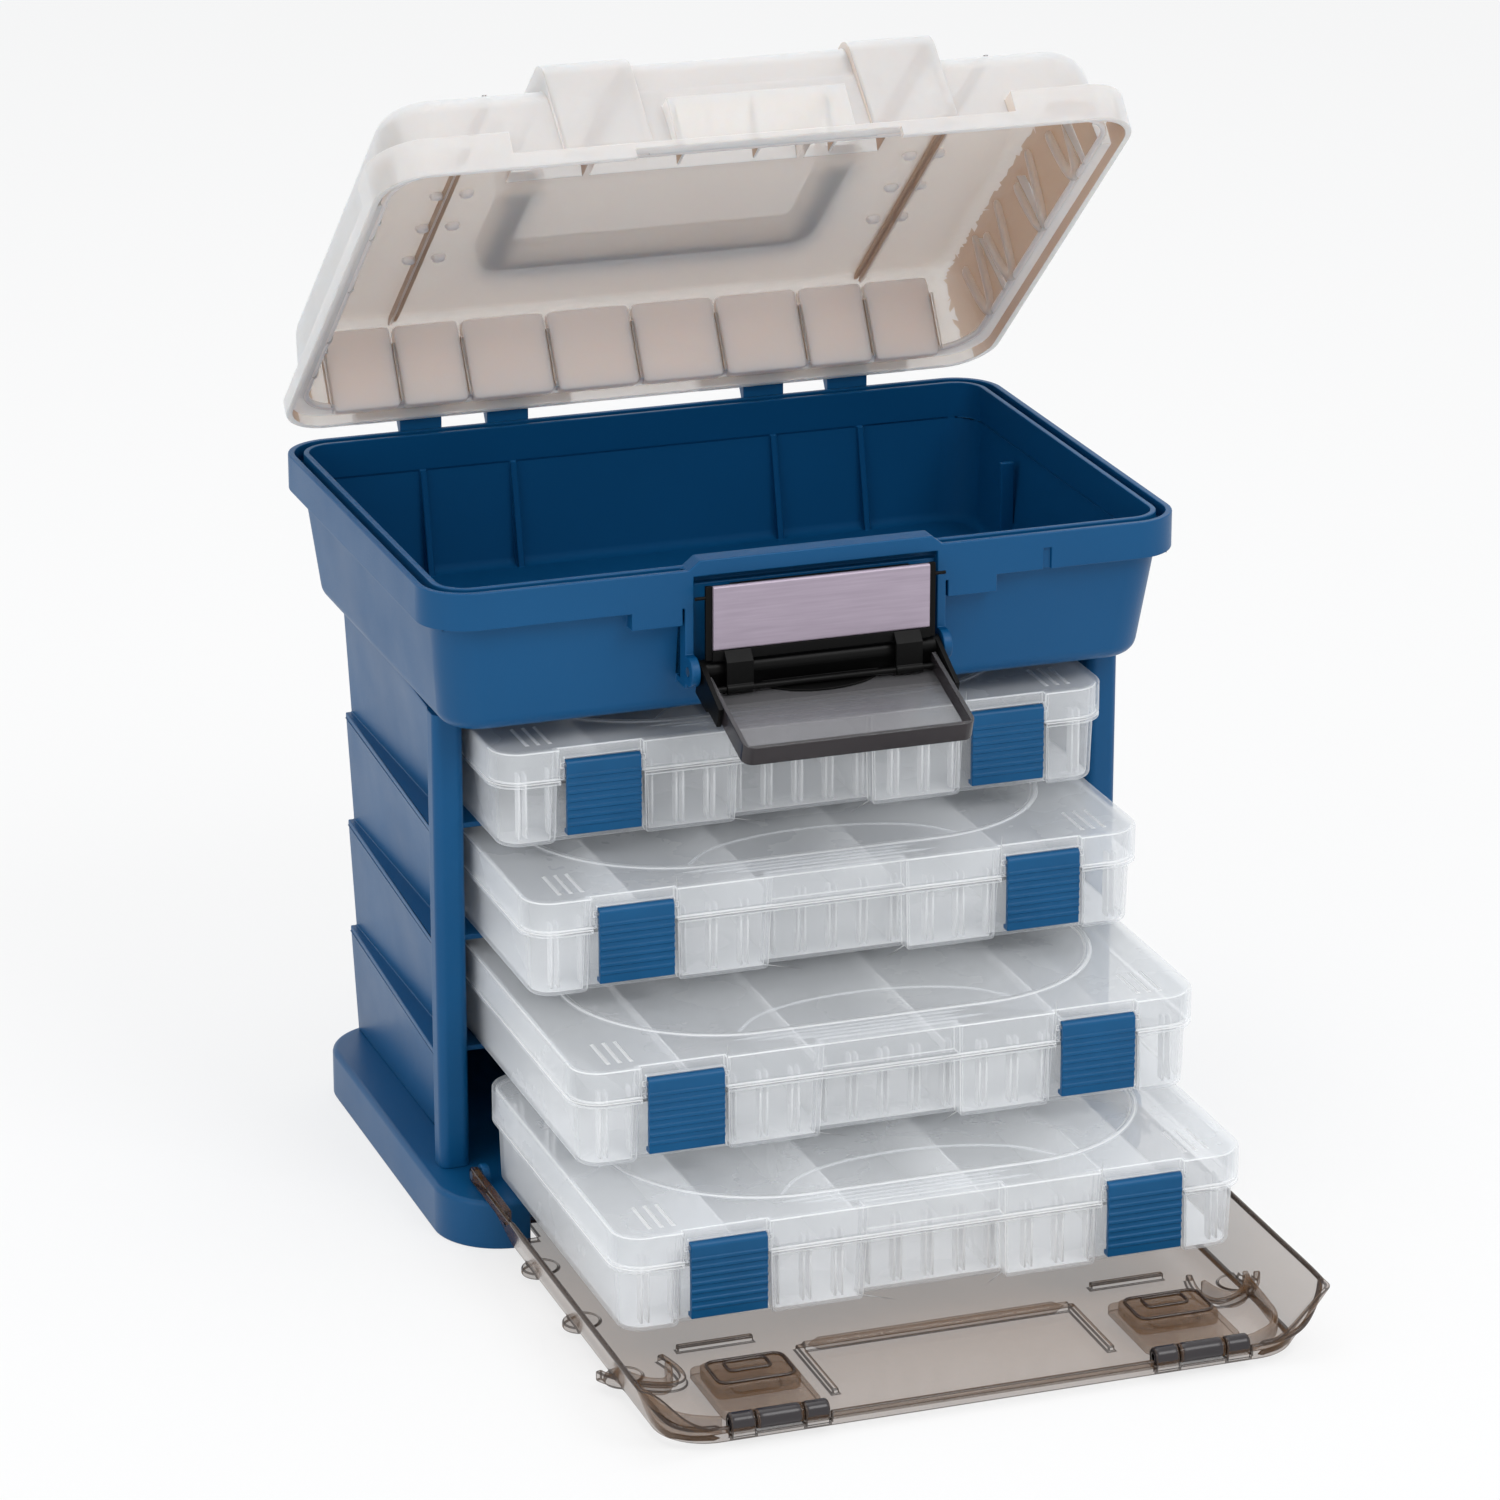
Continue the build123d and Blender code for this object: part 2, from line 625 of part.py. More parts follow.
with BuildPart() as lid_shut:
    add(lid_dome(0))
    add(lid_band(0, flange_top))
    corner_blocks = Part() + [
        slab(*sorted((side * corner_band_x, side * rim_half_width)), rim_front,
             corner_band_back, lid_bottom, band_top) for side in (-1, 1)]
    add(lid_band(0, band_top) & corner_blocks)
    add(slab(-blank_half_width, blank_half_width, blank_face_y, lid_top_front,
             flange_top, hinge_z + blank_rise))
    add(lid_dome(lid_wall), mode=Mode.SUBTRACT)
    add(lid_band(lid_flange_wall, flange_top - lid_flange_top), mode=Mode.SUBTRACT)
    corner_hollows = Part() + [
        slab(*sorted((side * (corner_band_x + lid_flange_wall), side * rim_half_width)), rim_front,
             corner_band_back - lid_flange_wall, lid_bottom, band_top) for side in (-1, 1)]
    add(lid_band(lid_flange_wall, band_top - lid_flange_top) & corner_hollows, mode=Mode.SUBTRACT)
    add(slab(-rim_clearance_x, rim_clearance_x, rim_front, rim_front + mouth_inset + swing_gap,
             lid_bottom, rim_top + rim_crown_height + swing_gap), mode=Mode.SUBTRACT)

    # Ribs inside the back and side walls, gussets behind the front wall
    rib_depth = lid_wall / 2 + lid_rib_depth
    for rib_x in sorted({side * x for side in (-1, 1) for x in lid_rib_x}):
        add(side_profile(((lid_back - lid_wall / 2, flange_top - lid_flange_top),
                          (lid_top_back - lid_wall / 2, lid_top - lid_top_edge),
                          (lid_top_back - rib_depth, lid_top - lid_top_edge),
                          (lid_back - rib_depth, flange_top - lid_flange_top)),
                         rib_x - lid_rib_thickness / 2, rib_x + lid_rib_thickness / 2))
    for rib_y in lid_side_rib_y:
        for side in (-1, 1):
            with BuildSketch(Plane.XZ.offset(-rib_y - lid_rib_thickness / 2)):
                with BuildLine():
                    Polyline((side * (lid_half_width - lid_wall / 2), flange_top - lid_flange_top),
                             (side * (lid_top_half_width - lid_wall / 2), lid_top - lid_top_edge),
                             (side * (lid_top_half_width - rib_depth), lid_top - lid_top_edge),
                             (side * (lid_half_width - rib_depth), flange_top - lid_flange_top),
                             close=True)
                make_face()
            extrude(amount=lid_rib_thickness)
    for side in (-1, 1):
        add(side_profile(((lid_top_back - rib_depth, lid_top - lid_wall / 2),
                          (lid_top_front + rib_depth, lid_top - lid_wall / 2),
                          (lid_top_front + rib_depth, lid_top - lid_wall - lid_roof_rib_depth),
                          (lid_top_back - rib_depth, lid_top - lid_wall - lid_roof_rib_depth)),
                         side * lid_roof_rib_x - lid_rib_thickness / 2,
                         side * lid_roof_rib_x + lid_rib_thickness / 2))
    for step in range(gusset_count):
        gusset_x = (step - (gusset_count - 1) / 2) * gusset_pitch
        gusset_wall = crown_front + lid_wall / 2 + crown_lean / 2
        add(side_profile(((gusset_wall, lid_top - gusset_drop), (gusset_wall, flange_top),
                          (gusset_wall + gusset_depth, flange_top)),
                         gusset_x - lid_rib_thickness / 2, gusset_x + lid_rib_thickness / 2))

    # Hinge knuckles along the back flange
    for group in (-1, 1):
        for step in (-2, 0, 2):
            middle = group * knuckle_group_x + step * knuckle_pitch
            ends = (middle - knuckle_length / 2, middle + knuckle_length / 2)
            add(rod(knuckle_radius, *ends, hinge_y, hinge_z))
            add(side_profile(((rim_back - lid_flange_wall, lid_bottom + lid_flange_wall / 2),
                              (rim_back, lid_bottom + lid_flange_wall / 2),
                              (hinge_y, hinge_z), (hinge_y, hinge_z + knuckle_radius),
                              (rim_back - lid_flange_wall, flange_top)), *ends))
            add(rod(hinge_pin_radius + pin_clearance, *ends, hinge_y, hinge_z), mode=Mode.SUBTRACT)

    # Ears for the carry handle on top
    for side in (-1, 1):
        for ear in (ear_inner, ear_outer):
            reach = sorted((side * ear[0], side * ear[1]))
            add(rod(handle_ear_radius, *reach, handle_pivot_y, handle_z))
            add(slab(*reach, handle_pivot_y - handle_ear_radius, handle_pivot_y + handle_ear_radius,
                     lid_top - lid_wall / 2, handle_z))
            add(rod(handle_pin_radius, *reach, handle_pivot_y, handle_z), mode=Mode.SUBTRACT)

with BuildPart() as lid_shell:
    add(lid_shut.part.rotate(lid_hinge_axis, -lid_open_angle))
save(lid_shell, "lid_shell")

with BuildPart() as handle_folded:
    arm_end = handle_pivot_y + handle_length
    grip_start = arm_end - handle_grip_depth
    with BuildSketch(Plane.XY.offset(handle_z - handle_thickness / 2)):
        with Locations((0, (handle_pivot_y + arm_end) / 2)):
            Rectangle(2 * handle_outer_x, handle_length)
        with Locations((0, (handle_pivot_y + grip_start) / 2)):
            Rectangle(2 * (handle_outer_x - handle_arm_width), grip_start - handle_pivot_y,
                      mode=Mode.SUBTRACT)
    extrude(amount=handle_thickness)
    fillet(handle_folded.edges().filter_by(Axis.Z).group_by(Axis.Y)[-1], handle_grip_depth)
    fillet(handle_folded.edges().filter_by(Axis.Z).group_by(Axis.Y)[-2], handle_edge)
    for side in (-1, 1):
        arm = sorted((side * (handle_outer_x - handle_arm_width), side * handle_outer_x))
        add(rod(handle_thickness / 2, *arm, handle_pivot_y, handle_z))
        add(rod(handle_pin_radius + pin_clearance, *arm, handle_pivot_y, handle_z),
            mode=Mode.SUBTRACT)

with BuildPart() as carry_handle:
    add(handle_folded.part.rotate(lid_hinge_axis, -lid_open_angle))
save(carry_handle, "carry_handle")

with BuildPart() as handle_pins:
    for side in (-1, 1):
        reach = sorted((side * ear_inner[0], side * ear_outer[1]))
        add(rod(handle_pin_radius, *reach, handle_pivot_y, handle_z).rotate(lid_hinge_axis, -lid_open_angle))
save(handle_pins, "handle_pins")


# Front latch lever, made level and then let down on its axis
# Outward along the lever is -Y, and its open side faces up
def lever_point(u, w):
    """Place on the level lever, u outward from its axis and w up."""
    return (lever_axis_y - u, lever_axis_z + w)


floor_w = -cover_depth
cover_end = lever_axis_y - cover_length
cover_root = lever_axis_y - cover_start

with BuildPart() as frame_level:
    add(rod(lever_bar_radius, -lever_half_width, lever_half_width, lever_axis_y, lever_axis_z))
    foot = (lever_point(0, -lever_bar_radius + 1), lever_point(0, floor_w - lever_arm_thickness),
            lever_point(draw_pin_u + cover_start, floor_w - lever_arm_thickness),
            lever_point(draw_pin_u + cover_start, floor_w), lever_point(lever_bar_radius, floor_w),
            lever_point(lever_bar_radius, 0))
    add(side_profile(foot, -lever_half_width, lever_half_width))
    for side in (-1, 1):
        arm = sorted((side * (cover_half_width + face_gap), side * lever_half_width))
        add(side_profile((lever_point(0, lever_bar_radius), lever_point(0, floor_w),
                          lever_point(cover_length / 2, floor_w), lever_point(cover_length / 2, 0)), *arm))
    with BuildSketch(Plane.XY.offset(lever_axis_z + floor_w + cover_wall)):
        with Locations((0, lever_axis_y - lever_bar_radius)):
            Ellipse(thumb_half_width, thumb_reach)
        with Locations((0, lever_axis_y - lever_bar_radius + thumb_reach / 2)):
            Rectangle(2 * thumb_half_width, thumb_reach, mode=Mode.SUBTRACT)
    extrude(amount=thumb_thickness)
    add(rod(lever_pin_radius + pin_clearance, -lever_half_width, lever_half_width,
            lever_axis_y, lever_axis_z), mode=Mode.SUBTRACT)

with BuildPart() as lever_frame:
    add(frame_level.part.rotate(lever_axis, lever_drop_angle))
save(lever_frame, "latch_lever_frame")

with BuildPart() as cover_level:
    with BuildSketch(Plane.XY.offset(lever_axis_z + floor_w)):
        with Locations((0, (cover_root + cover_end) / 2)):
            Rectangle(2 * cover_half_width, cover_root - cover_end)
    extrude(amount=cover_depth)
    fillet(cover_level.edges().filter_by(Axis.Z).group_by(Axis.Y)[0], cover_corner)
    with BuildSketch(Plane.XY.offset(lever_axis_z + floor_w + cover_wall)):
        with Locations((0, (cover_root + cover_end + cover_wall) / 2)):
            Rectangle(2 * (cover_half_width - cover_wall), cover_root - cover_end - cover_wall)
    extrude(amount=cover_depth, mode=Mode.SUBTRACT)

with BuildPart() as latch_cover:
    add(cover_level.part.rotate(lever_axis, lever_drop_angle))
save(latch_cover, "latch_cover")

with BuildPart() as lever_pins:
    for side in (-1, 1):
        reach = sorted((side * (lever_half_width - 2 * lug_thickness), side * lug_outer_x))
        add(rod(lever_pin_radius, *reach, lever_axis_y, lever_axis_z))
save(lever_pins, "latch_lever_pins")

# Draw plate: hangs upright from its pin in the lever and ends in a hook bar
drop = radians(lever_drop_angle)
draw_pin_y = lever_axis_y - draw_pin_u * cos(drop) - draw_pin_w * sin(drop)
draw_pin_z = lever_axis_z - draw_pin_u * sin(drop) + draw_pin_w * cos(drop)
plate_front_y = draw_plate_back_y - draw_plate_thickness

with BuildPart() as draw_frame:
    foot_bottom = draw_plate_bottom - draw_foot_height
    rail_inner_x = draw_plate_half_width + face_gap
    add(slab(-rail_inner_x, rail_inner_x, plate_front_y, draw_plate_back_y,
             foot_bottom, draw_plate_bottom))
    add(slab(-draw_plate_half_width, draw_plate_half_width, draw_plate_back_y,
             draw_plate_back_y + draw_frame_thickness, foot_bottom, draw_hook_top))
    add(slab(-blank_half_width, blank_half_width, draw_plate_back_y,
             draw_plate_back_y + draw_hook_reach, draw_hook_top - draw_hook_thickness, draw_hook_top))
    for side in (-1, 1):
        rail = sorted((side * draw_plate_half_width, side * draw_rail_outer_x))
        add(slab(*rail, draw_plate_back_y - draw_frame_thickness,
                 draw_plate_back_y - draw_frame_thickness + draw_rail_depth, foot_bottom, draw_hook_top))
        stud = sorted((side * draw_rail_outer_x, side * (draw_rail_outer_x + draw_stud_length)))
        add(rod(draw_stud_size / 2, *stud, draw_plate_back_y, draw_hook_top - draw_stud_drop))
        arm = (side * draw_arm_x - draw_arm_width / 2, side * draw_arm_x + draw_arm_width / 2)
        add(rod(draw_barrel_radius, *arm, draw_pin_y, draw_pin_z))
        add(side_profile(((draw_pin_y - draw_plate_thickness / 2, draw_pin_z),
                          (draw_pin_y - draw_plate_thickness / 2, foot_bottom),
                          (plate_front_y, draw_plate_bottom), (draw_plate_back_y, draw_plate_bottom),
                          (draw_pin_y + draw_plate_thickness / 2, foot_bottom),
                          (draw_pin_y + draw_plate_thickness / 2, draw_pin_z)), *arm))
        add(rod(draw_pin_radius + pin_clearance, *arm, draw_pin_y, draw_pin_z), mode=Mode.SUBTRACT)
save(draw_frame, "draw_frame")

with BuildPart() as draw_plate:
    add(slab(-draw_plate_half_width, draw_plate_half_width, plate_front_y, draw_plate_back_y,
             draw_plate_bottom, draw_hook_top))
    fillet(draw_plate.edges().filter_by(Axis.X).group_by(Axis.Y)[0], draw_plate_thickness / 2)
save(draw_plate, "draw_plate")

with BuildPart() as draw_plate_pin:
    add(rod(draw_pin_radius, -cover_half_width + cover_wall, cover_half_width - cover_wall,
            draw_pin_y, draw_pin_z))
save(draw_plate_pin, "draw_plate_pin")

# Utility box, made once with its front at Y 0 and its underside at Z 0
skirt_bottom = box_height - box_lid_height
latch_near = latch_x - latch_width / 2 - latch_side_gap
latch_far = latch_x + latch_width / 2 + latch_side_gap
latch_pivot_y = latch_barrel_radius - latch_thickness + 0.4
latch_pivot_z = latch_bottom + latch_height - latch_barrel_radius
latch_front_y = latch_pivot_y - latch_barrel_radius
pocket_top = latch_bottom + latch_height + swing_gap
tray_pocket = latch_pocket_depth + box_wall + face_gap


def box_plan(inset):
    """Rounded plan of a box, in the current sketch."""
    outline(box_half_width - inset, inset, box_depth - inset, box_corner - inset)


def front_pockets(near, far, depth):
    """Take the two latch pockets out of the current sketch."""
    for side in (-1, 1):
        with Locations((side * (near + far) / 2, depth / 2)):
            Rectangle(far - near, depth, mode=Mode.SUBTRACT)


def tray_plan(inset):
    """Plan of the tray, set back at the latches and at the hand hold."""
    box_plan(tray_inset)
    front_pockets(latch_near - latch_pocket_cheek - face_gap, latch_far + latch_pocket_cheek + face_gap,
                  tray_pocket)
    with Locations((0, (tray_inset + hand_hold_depth) / 2)):
        Rectangle(2 * hand_hold_half_width, tray_inset + hand_hold_depth, mode=Mode.SUBTRACT)
    if inset:
        offset(amount=-inset, kind=Kind.INTERSECTION)


tray_top = box_height - box_wall - face_gap

with BuildPart() as tray_shape:
    with BuildSketch(Plane.XY.offset(tray_top)):
        tray_plan(0)
    extrude(amount=-tray_top, taper=tray_draft)
    fillet(tray_shape.edges().group_by(Axis.Z)[0], tray_edge)
    with BuildSketch(Plane.XY.offset(skirt_bottom - face_gap - tray_flange)):
        box_plan(0)
        front_pockets(latch_near - latch_pocket_cheek, latch_far + latch_pocket_cheek, tray_pocket)
    extrude(amount=tray_flange)
    with BuildSketch(Plane.XY.offset(tray_top)):
        tray_plan(box_wall)
    extrude(amount=-tray_top + box_wall, taper=tray_draft, mode=Mode.SUBTRACT)
    catch_z = latch_bottom + latch_hook_height + face_gap
    for side in (-1, 1):
        add(slab(side * latch_x - latch_width / 4, side * latch_x + latch_width / 4,
                 latch_pivot_y + latch_hook_reach / 2, tray_pocket + box_wall,
                 catch_z, catch_z + catch_height))

with BuildPart() as lid_shape:
    with BuildSketch(Plane.XY.offset(skirt_bottom)):
        box_plan(0)
    extrude(amount=box_lid_height)
    fillet(lid_shape.edges().group_by(Axis.Z)[-1], box_wall)
    with BuildSketch(Plane.XY.offset(skirt_bottom)):
        box_plan(box_wall)
    extrude(amount=box_lid_height - box_wall, mode=Mode.SUBTRACT)
    for side in (-1, 1):
        cheeks = sorted((side * (latch_near - latch_pocket_cheek), side * (latch_far + latch_pocket_cheek)))
        pocket = sorted((side * latch_near, side * latch_far))
        add(slab(*cheeks, box_wall / 2, latch_pocket_depth + box_wall, skirt_bottom,
                 box_height - box_wall / 2))
        add(slab(*pocket, 0, latch_pocket_depth, skirt_bottom, pocket_top), mode=Mode.SUBTRACT)
        add(rod(latch_pin_radius, *cheeks, latch_pivot_y, latch_pivot_z), mode=Mode.SUBTRACT)
    with BuildSketch(Plane.XY.offset(box_height - box_wall / 2)):
        with Locations((0, box_depth / 2)):
            RectangleRounded(lid_oval_width, lid_oval_depth, lid_oval_corner)
            RectangleRounded(lid_oval_width - 2 * lid_bead_width, lid_oval_depth - 2 * lid_bead_width,
                             lid_oval_corner - lid_bead_width, mode=Mode.SUBTRACT)
            with GridLocations(lid_oval_width, lid_oval_depth, 2, 2):
                with GridLocations(lid_mark_pitch, 0, lid_mark_count, 1):
                    Rectangle(lid_bead_width / 2, lid_mark_length)
    extrude(amount=box_wall / 2 + lid_bead)

with BuildPart() as latch_shape:
    add(rod(latch_barrel_radius, -latch_width / 2, latch_width / 2, latch_pivot_y, latch_pivot_z))
    add(slab(-latch_width / 2, latch_width / 2, latch_front_y, latch_front_y + latch_thickness,
             latch_bottom, latch_pivot_z))
    add(slab(-latch_width / 2, latch_width / 2, latch_front_y, latch_pivot_y + latch_hook_reach,
             latch_bottom, latch_bottom + latch_hook_height))
    rib_middle = latch_bottom + latch_height / 2 - latch_barrel_radius / 2
    for step in range(latch_rib_count):
        rib_z = rib_middle + (step - (latch_rib_count - 1) / 2) * latch_rib_pitch
        add(slab(-latch_width / 2, latch_width / 2, latch_front_y - latch_rib_proud, latch_front_y,
                 rib_z - latch_rib_height / 2, rib_z + latch_rib_height / 2))
    add(rod(latch_pin_radius + pin_clearance, -latch_width / 2, latch_width / 2,
            latch_pivot_y, latch_pivot_z), mode=Mode.SUBTRACT)

with BuildPart() as divider_shape:
    with Locations((0, (divider_front + divider_back) / 2, box_wall + divider_height / 2)):
        with GridLocations(divider_pitch, 0, divider_count, 1):
            Box(divider_thickness, divider_back - divider_front, divider_height)

with BuildPart() as latch_pin_shape:
    for side in (-1, 1):
        reach = sorted((side * (latch_near - latch_pocket_cheek), side * (latch_far + latch_pocket_cheek)))
        add(rod(latch_pin_radius, *reach, latch_pivot_y, latch_pivot_z))

# Each box drawn out by its own amount, the top one first
for number in range(1, box_count + 1):
    place = (0, box_home_y - box_drawn[number - 1],
             plinth_height + (box_count - number) * shelf_pitch + box_rest_gap)
    for shape, name in ((tray_shape, "tray"), (lid_shape, "lid"), (divider_shape, "dividers"),
                        (latch_pin_shape, "latch_pins")):
        with BuildPart() as piece:
            with Locations(place):
                add(shape.part)
        save(piece, f"box_{number}_{name}")
    for side, name in ((-1, "left"), (1, "right")):
        with BuildPart() as piece:
            with Locations((side * latch_x, place[1], place[2])):
                add(latch_shape.part)
        save(piece, f"box_{number}_latch_{name}")

# Door, lying open in front: a shallow smoked tray whose flared sides reach back to the hinge pins
panel_top = door_face_z + door_skin
arm_outer = door_ear_x + door_ear_thickness + swing_gap + door_arm_thickness
arm_inner = door_ear_x + door_ear_thickness + swing_gap


def door_pan(inset, bottom, top_z):
    """Outside or, with an inset, inside of the door's flared tray."""
    with BuildPart() as pan:
        for z in (bottom, top_z):
            rise = (z - door_face_z) / (door_wall_top - door_face_z)
            half_width = door_face_half_width + rise * (door_top_half_width - door_face_half_width)
            corner = door_corner + rise * (door_top_corner - door_corner)
            with BuildSketch(Plane.XY.offset(z)):
                outline(half_width - inset, door_free_edge_y + inset,
                        door_skirt_back_y + 2 * door_corner, corner - inset)
        loft()
        add(slab(-rim_half_width, rim_half_width, door_skirt_back_y, rim_back,
                 bottom - 1, top_z + 1), mode=Mode.SUBTRACT)
    return pan.part


with BuildPart() as door_panel:
    add(door_pan(0, door_face_z, door_wall_top))
    add(door_pan(door_wall, panel_top, door_wall_top), mode=Mode.SUBTRACT)

    # The front wall is low, rises in a curve to the flange at each corner, and opens at the latches
    with BuildSketch(Plane.XZ.offset(-door_free_edge_y - door_corner)):
        with BuildLine():
            low, high = door_edge_wall_height, door_wall_top
            Line((-door_low_half_width, low), (door_low_half_width, low))
            Spline((door_low_half_width, low), (door_flange_inner_x, high), tangents=((1, 0), (1, 0.6)))
            Line((door_flange_inner_x, high), (door_flange_inner_x, high + 1))
            Line((door_flange_inner_x, high + 1), (-door_flange_inner_x, high + 1))
            Line((-door_flange_inner_x, high + 1), (-door_flange_inner_x, high))
            Spline((-door_flange_inner_x, high), (-door_low_half_width, low), tangents=((1, -0.6), (1, 0)))
        make_face()
    extrude(amount=2 * door_corner, mode=Mode.SUBTRACT)
    for side in (-1, 1):
        middle = side * door_latch_x
        add(slab(middle - door_latch_width / 2 - swing_gap, middle + door_latch_width / 2 + swing_gap,
                 door_free_edge_y - 1, door_free_edge_y + door_corner, panel_top, door_wall_top),
            mode=Mode.SUBTRACT)

    # Tongue in the plinth's notch, and arms over the plinth to the pins
    add(slab(-door_tongue_half_width, door_tongue_half_width, door_skirt_back_y - 1,
             door_tongue_back_y, door_face_z, panel_top))
    for side in (-1, 1):
        arm = sorted((side * arm_inner, side * arm_outer))
        add(side_profile(((door_skirt_back_y - door_corner, door_wall_top - door_arm_height),
                          (door_axis_y, door_axis_z - door_arm_radius),
                          (door_axis_y, door_axis_z + door_arm_radius),
                          (door_skirt_back_y - door_corner, door_wall_top)), *arm))
        add(rod(door_arm_radius, *arm, door_axis_y, door_axis_z))
        add(rod(door_pin_radius + pin_clearance, *arm, door_axis_y, door_axis_z), mode=Mode.SUBTRACT)

    # Three lobes along the outer lower edge of each side
    for lobe_y in door_lobe_y:
        for side in (-1, 1):
            lobe_x = side * (door_face_half_width - door_lobe_radius / 3)
            with BuildSketch(Plane.XY.offset(door_face_z)):
                with Locations((lobe_x, lobe_y)):
                    Circle(door_lobe_radius)
            extrude(amount=door_lobe_thickness)

    # Ribs on the floor: a round bar and border round the middle panel, bars below the boxes
    add(slab(-door_panel_half_width, door_panel_half_width, door_panel_back_y - door_rib_thickness,
             door_panel_back_y, panel_top - 1, panel_top + door_rib_height / 2))
    add(rod(door_rib_thickness / 2, -door_panel_half_width, door_panel_half_width,
            door_panel_back_y - door_rib_thickness / 2, panel_top + door_rib_height / 2))
    for side in (-1, 1):
        edge = side * door_panel_half_width
        rib = sorted((edge, edge + side * door_rib_thickness))
        add(slab(*rib, door_free_edge_y + door_corner, door_panel_back_y, panel_top - 1,
                 panel_top + door_rib_height / 2))
        stop = sorted((side * (door_latch_x - latch_width / 2), side * (door_latch_x + latch_width / 2)))
        add(slab(*stop, door_stop_y - door_rib_thickness, door_stop_y, panel_top - 1,
                 panel_top + door_stop_height))

    # S-shaped ribs toward the flanges
    for side in (-1, 1):
        with BuildSketch(Plane.XY.offset(panel_top - 1)):
            with BuildLine():
                Spline(*((side * x, y) for x, y in door_s_rib))
            trace(line_width=door_rib_thickness)
        extrude(amount=door_s_rib_height + 1)

    # Knuckles that hold the latch pins
    for side in (-1, 1):
        for step in (-1, 1):
            near = side * door_latch_x + step * (door_latch_middle / 2 + door_latch_slot)
            far = side * door_latch_x + step * door_latch_width / 2
            reach = sorted((near, far))
            add(rod(door_latch_barrel_radius, *reach, door_latch_axis_y, door_latch_axis_z))
            add(slab(*reach, door_latch_axis_y - door_latch_barrel_radius,
                     door_latch_axis_y + door_latch_barrel_radius, panel_top - 1, door_latch_axis_z))
            add(rod(door_latch_pin_radius, *reach, door_latch_axis_y, door_latch_axis_z),
                mode=Mode.SUBTRACT)
save(door_panel, "door_panel")

with BuildPart() as door_pins:
    for side in (-1, 1):
        add(rod(door_pin_radius, *sorted((side * door_ear_x, side * arm_outer)), door_axis_y, door_axis_z))
save(door_pins, "door_hinge_pins")

for side, name in ((-1, "left"), (1, "right")):
    middle = side * door_latch_x
    half_barrel = door_latch_middle / 2
    plate_start = door_latch_axis_y + door_latch_barrel_radius + swing_gap
    plate_end = door_latch_axis_y + door_latch_length
    plate_low = door_latch_axis_z - door_latch_thickness / 2
    with BuildPart() as door_latch:
        with BuildSketch(Plane.XY.offset(plate_low)):
            with Locations((middle, (plate_start + plate_end) / 2)):
                RectangleRounded(door_latch_width, plate_end - plate_start, door_latch_thickness)
        extrude(amount=door_latch_thickness)
        fillet(door_latch.faces().sort_by(Axis.Z)[-1].edges(), door_latch_edge)
        add(rod(door_latch_barrel_radius, middle - half_barrel, middle + half_barrel,
                door_latch_axis_y, door_latch_axis_z))
        add(slab(middle - half_barrel, middle + half_barrel, door_latch_axis_y, plate_start + 1,
                 plate_low, plate_low + door_latch_thickness))
        with BuildSketch(Plane.XY.offset(plate_low + door_latch_thickness)):
            with Locations((middle, (plate_start + plate_end) / 2)):
                RectangleRounded(door_latch_width / 2, door_latch_length / 4, door_latch_thickness)
        extrude(amount=-door_latch_thickness / 3, mode=Mode.SUBTRACT)
        add(rod(door_latch_pin_radius + pin_clearance, middle - half_barrel, middle + half_barrel,
                door_latch_axis_y, door_latch_axis_z), mode=Mode.SUBTRACT)
    save(door_latch, f"door_latch_{name}")

with BuildPart() as door_latch_pins:
    for side in (-1, 1):
        middle = side * door_latch_x
        add(rod(door_latch_pin_radius, middle - door_latch_width / 2, middle + door_latch_width / 2,
                door_latch_axis_y, door_latch_axis_z))
save(door_latch_pins, "door_latch_pins")
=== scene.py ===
import json
from math import cos, pi, radians, sin

import bmesh
import bpy
import numpy as np
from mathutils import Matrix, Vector


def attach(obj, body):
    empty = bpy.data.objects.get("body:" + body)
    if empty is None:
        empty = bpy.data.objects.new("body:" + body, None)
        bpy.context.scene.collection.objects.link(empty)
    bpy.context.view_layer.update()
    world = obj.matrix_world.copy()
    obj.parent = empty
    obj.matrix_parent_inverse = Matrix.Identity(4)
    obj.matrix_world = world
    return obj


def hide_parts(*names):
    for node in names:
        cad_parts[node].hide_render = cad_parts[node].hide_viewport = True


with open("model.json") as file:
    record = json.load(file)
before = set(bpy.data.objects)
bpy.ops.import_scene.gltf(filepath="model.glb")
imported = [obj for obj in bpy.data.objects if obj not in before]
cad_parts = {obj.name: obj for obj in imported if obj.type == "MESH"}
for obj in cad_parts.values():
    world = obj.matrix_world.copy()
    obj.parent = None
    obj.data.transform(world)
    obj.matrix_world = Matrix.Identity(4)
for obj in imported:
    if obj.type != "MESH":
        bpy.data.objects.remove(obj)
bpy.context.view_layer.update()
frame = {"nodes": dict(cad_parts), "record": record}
nodes = frame["nodes"]
mm = 0.001


# An empty node material with its one Principled shader and its object coordinates
def newMaterial(name):
    material = bpy.data.materials.new(name)
    material.use_nodes = True
    tree = material.node_tree
    shader = tree.nodes["Principled BSDF"]
    place = tree.nodes.new("ShaderNodeTexCoord").outputs["Object"]
    return material, tree, shader, place


# Noise from 0 to 1 with its scale per metre
def noiseValue(tree, place, perMetre, detail):
    noise = tree.nodes.new("ShaderNodeTexNoise")
    noise.inputs["Scale"].default_value = perMetre
    noise.inputs["Detail"].default_value = detail
    tree.links.new(place, noise.inputs["Vector"])
    return noise.outputs["Fac"]


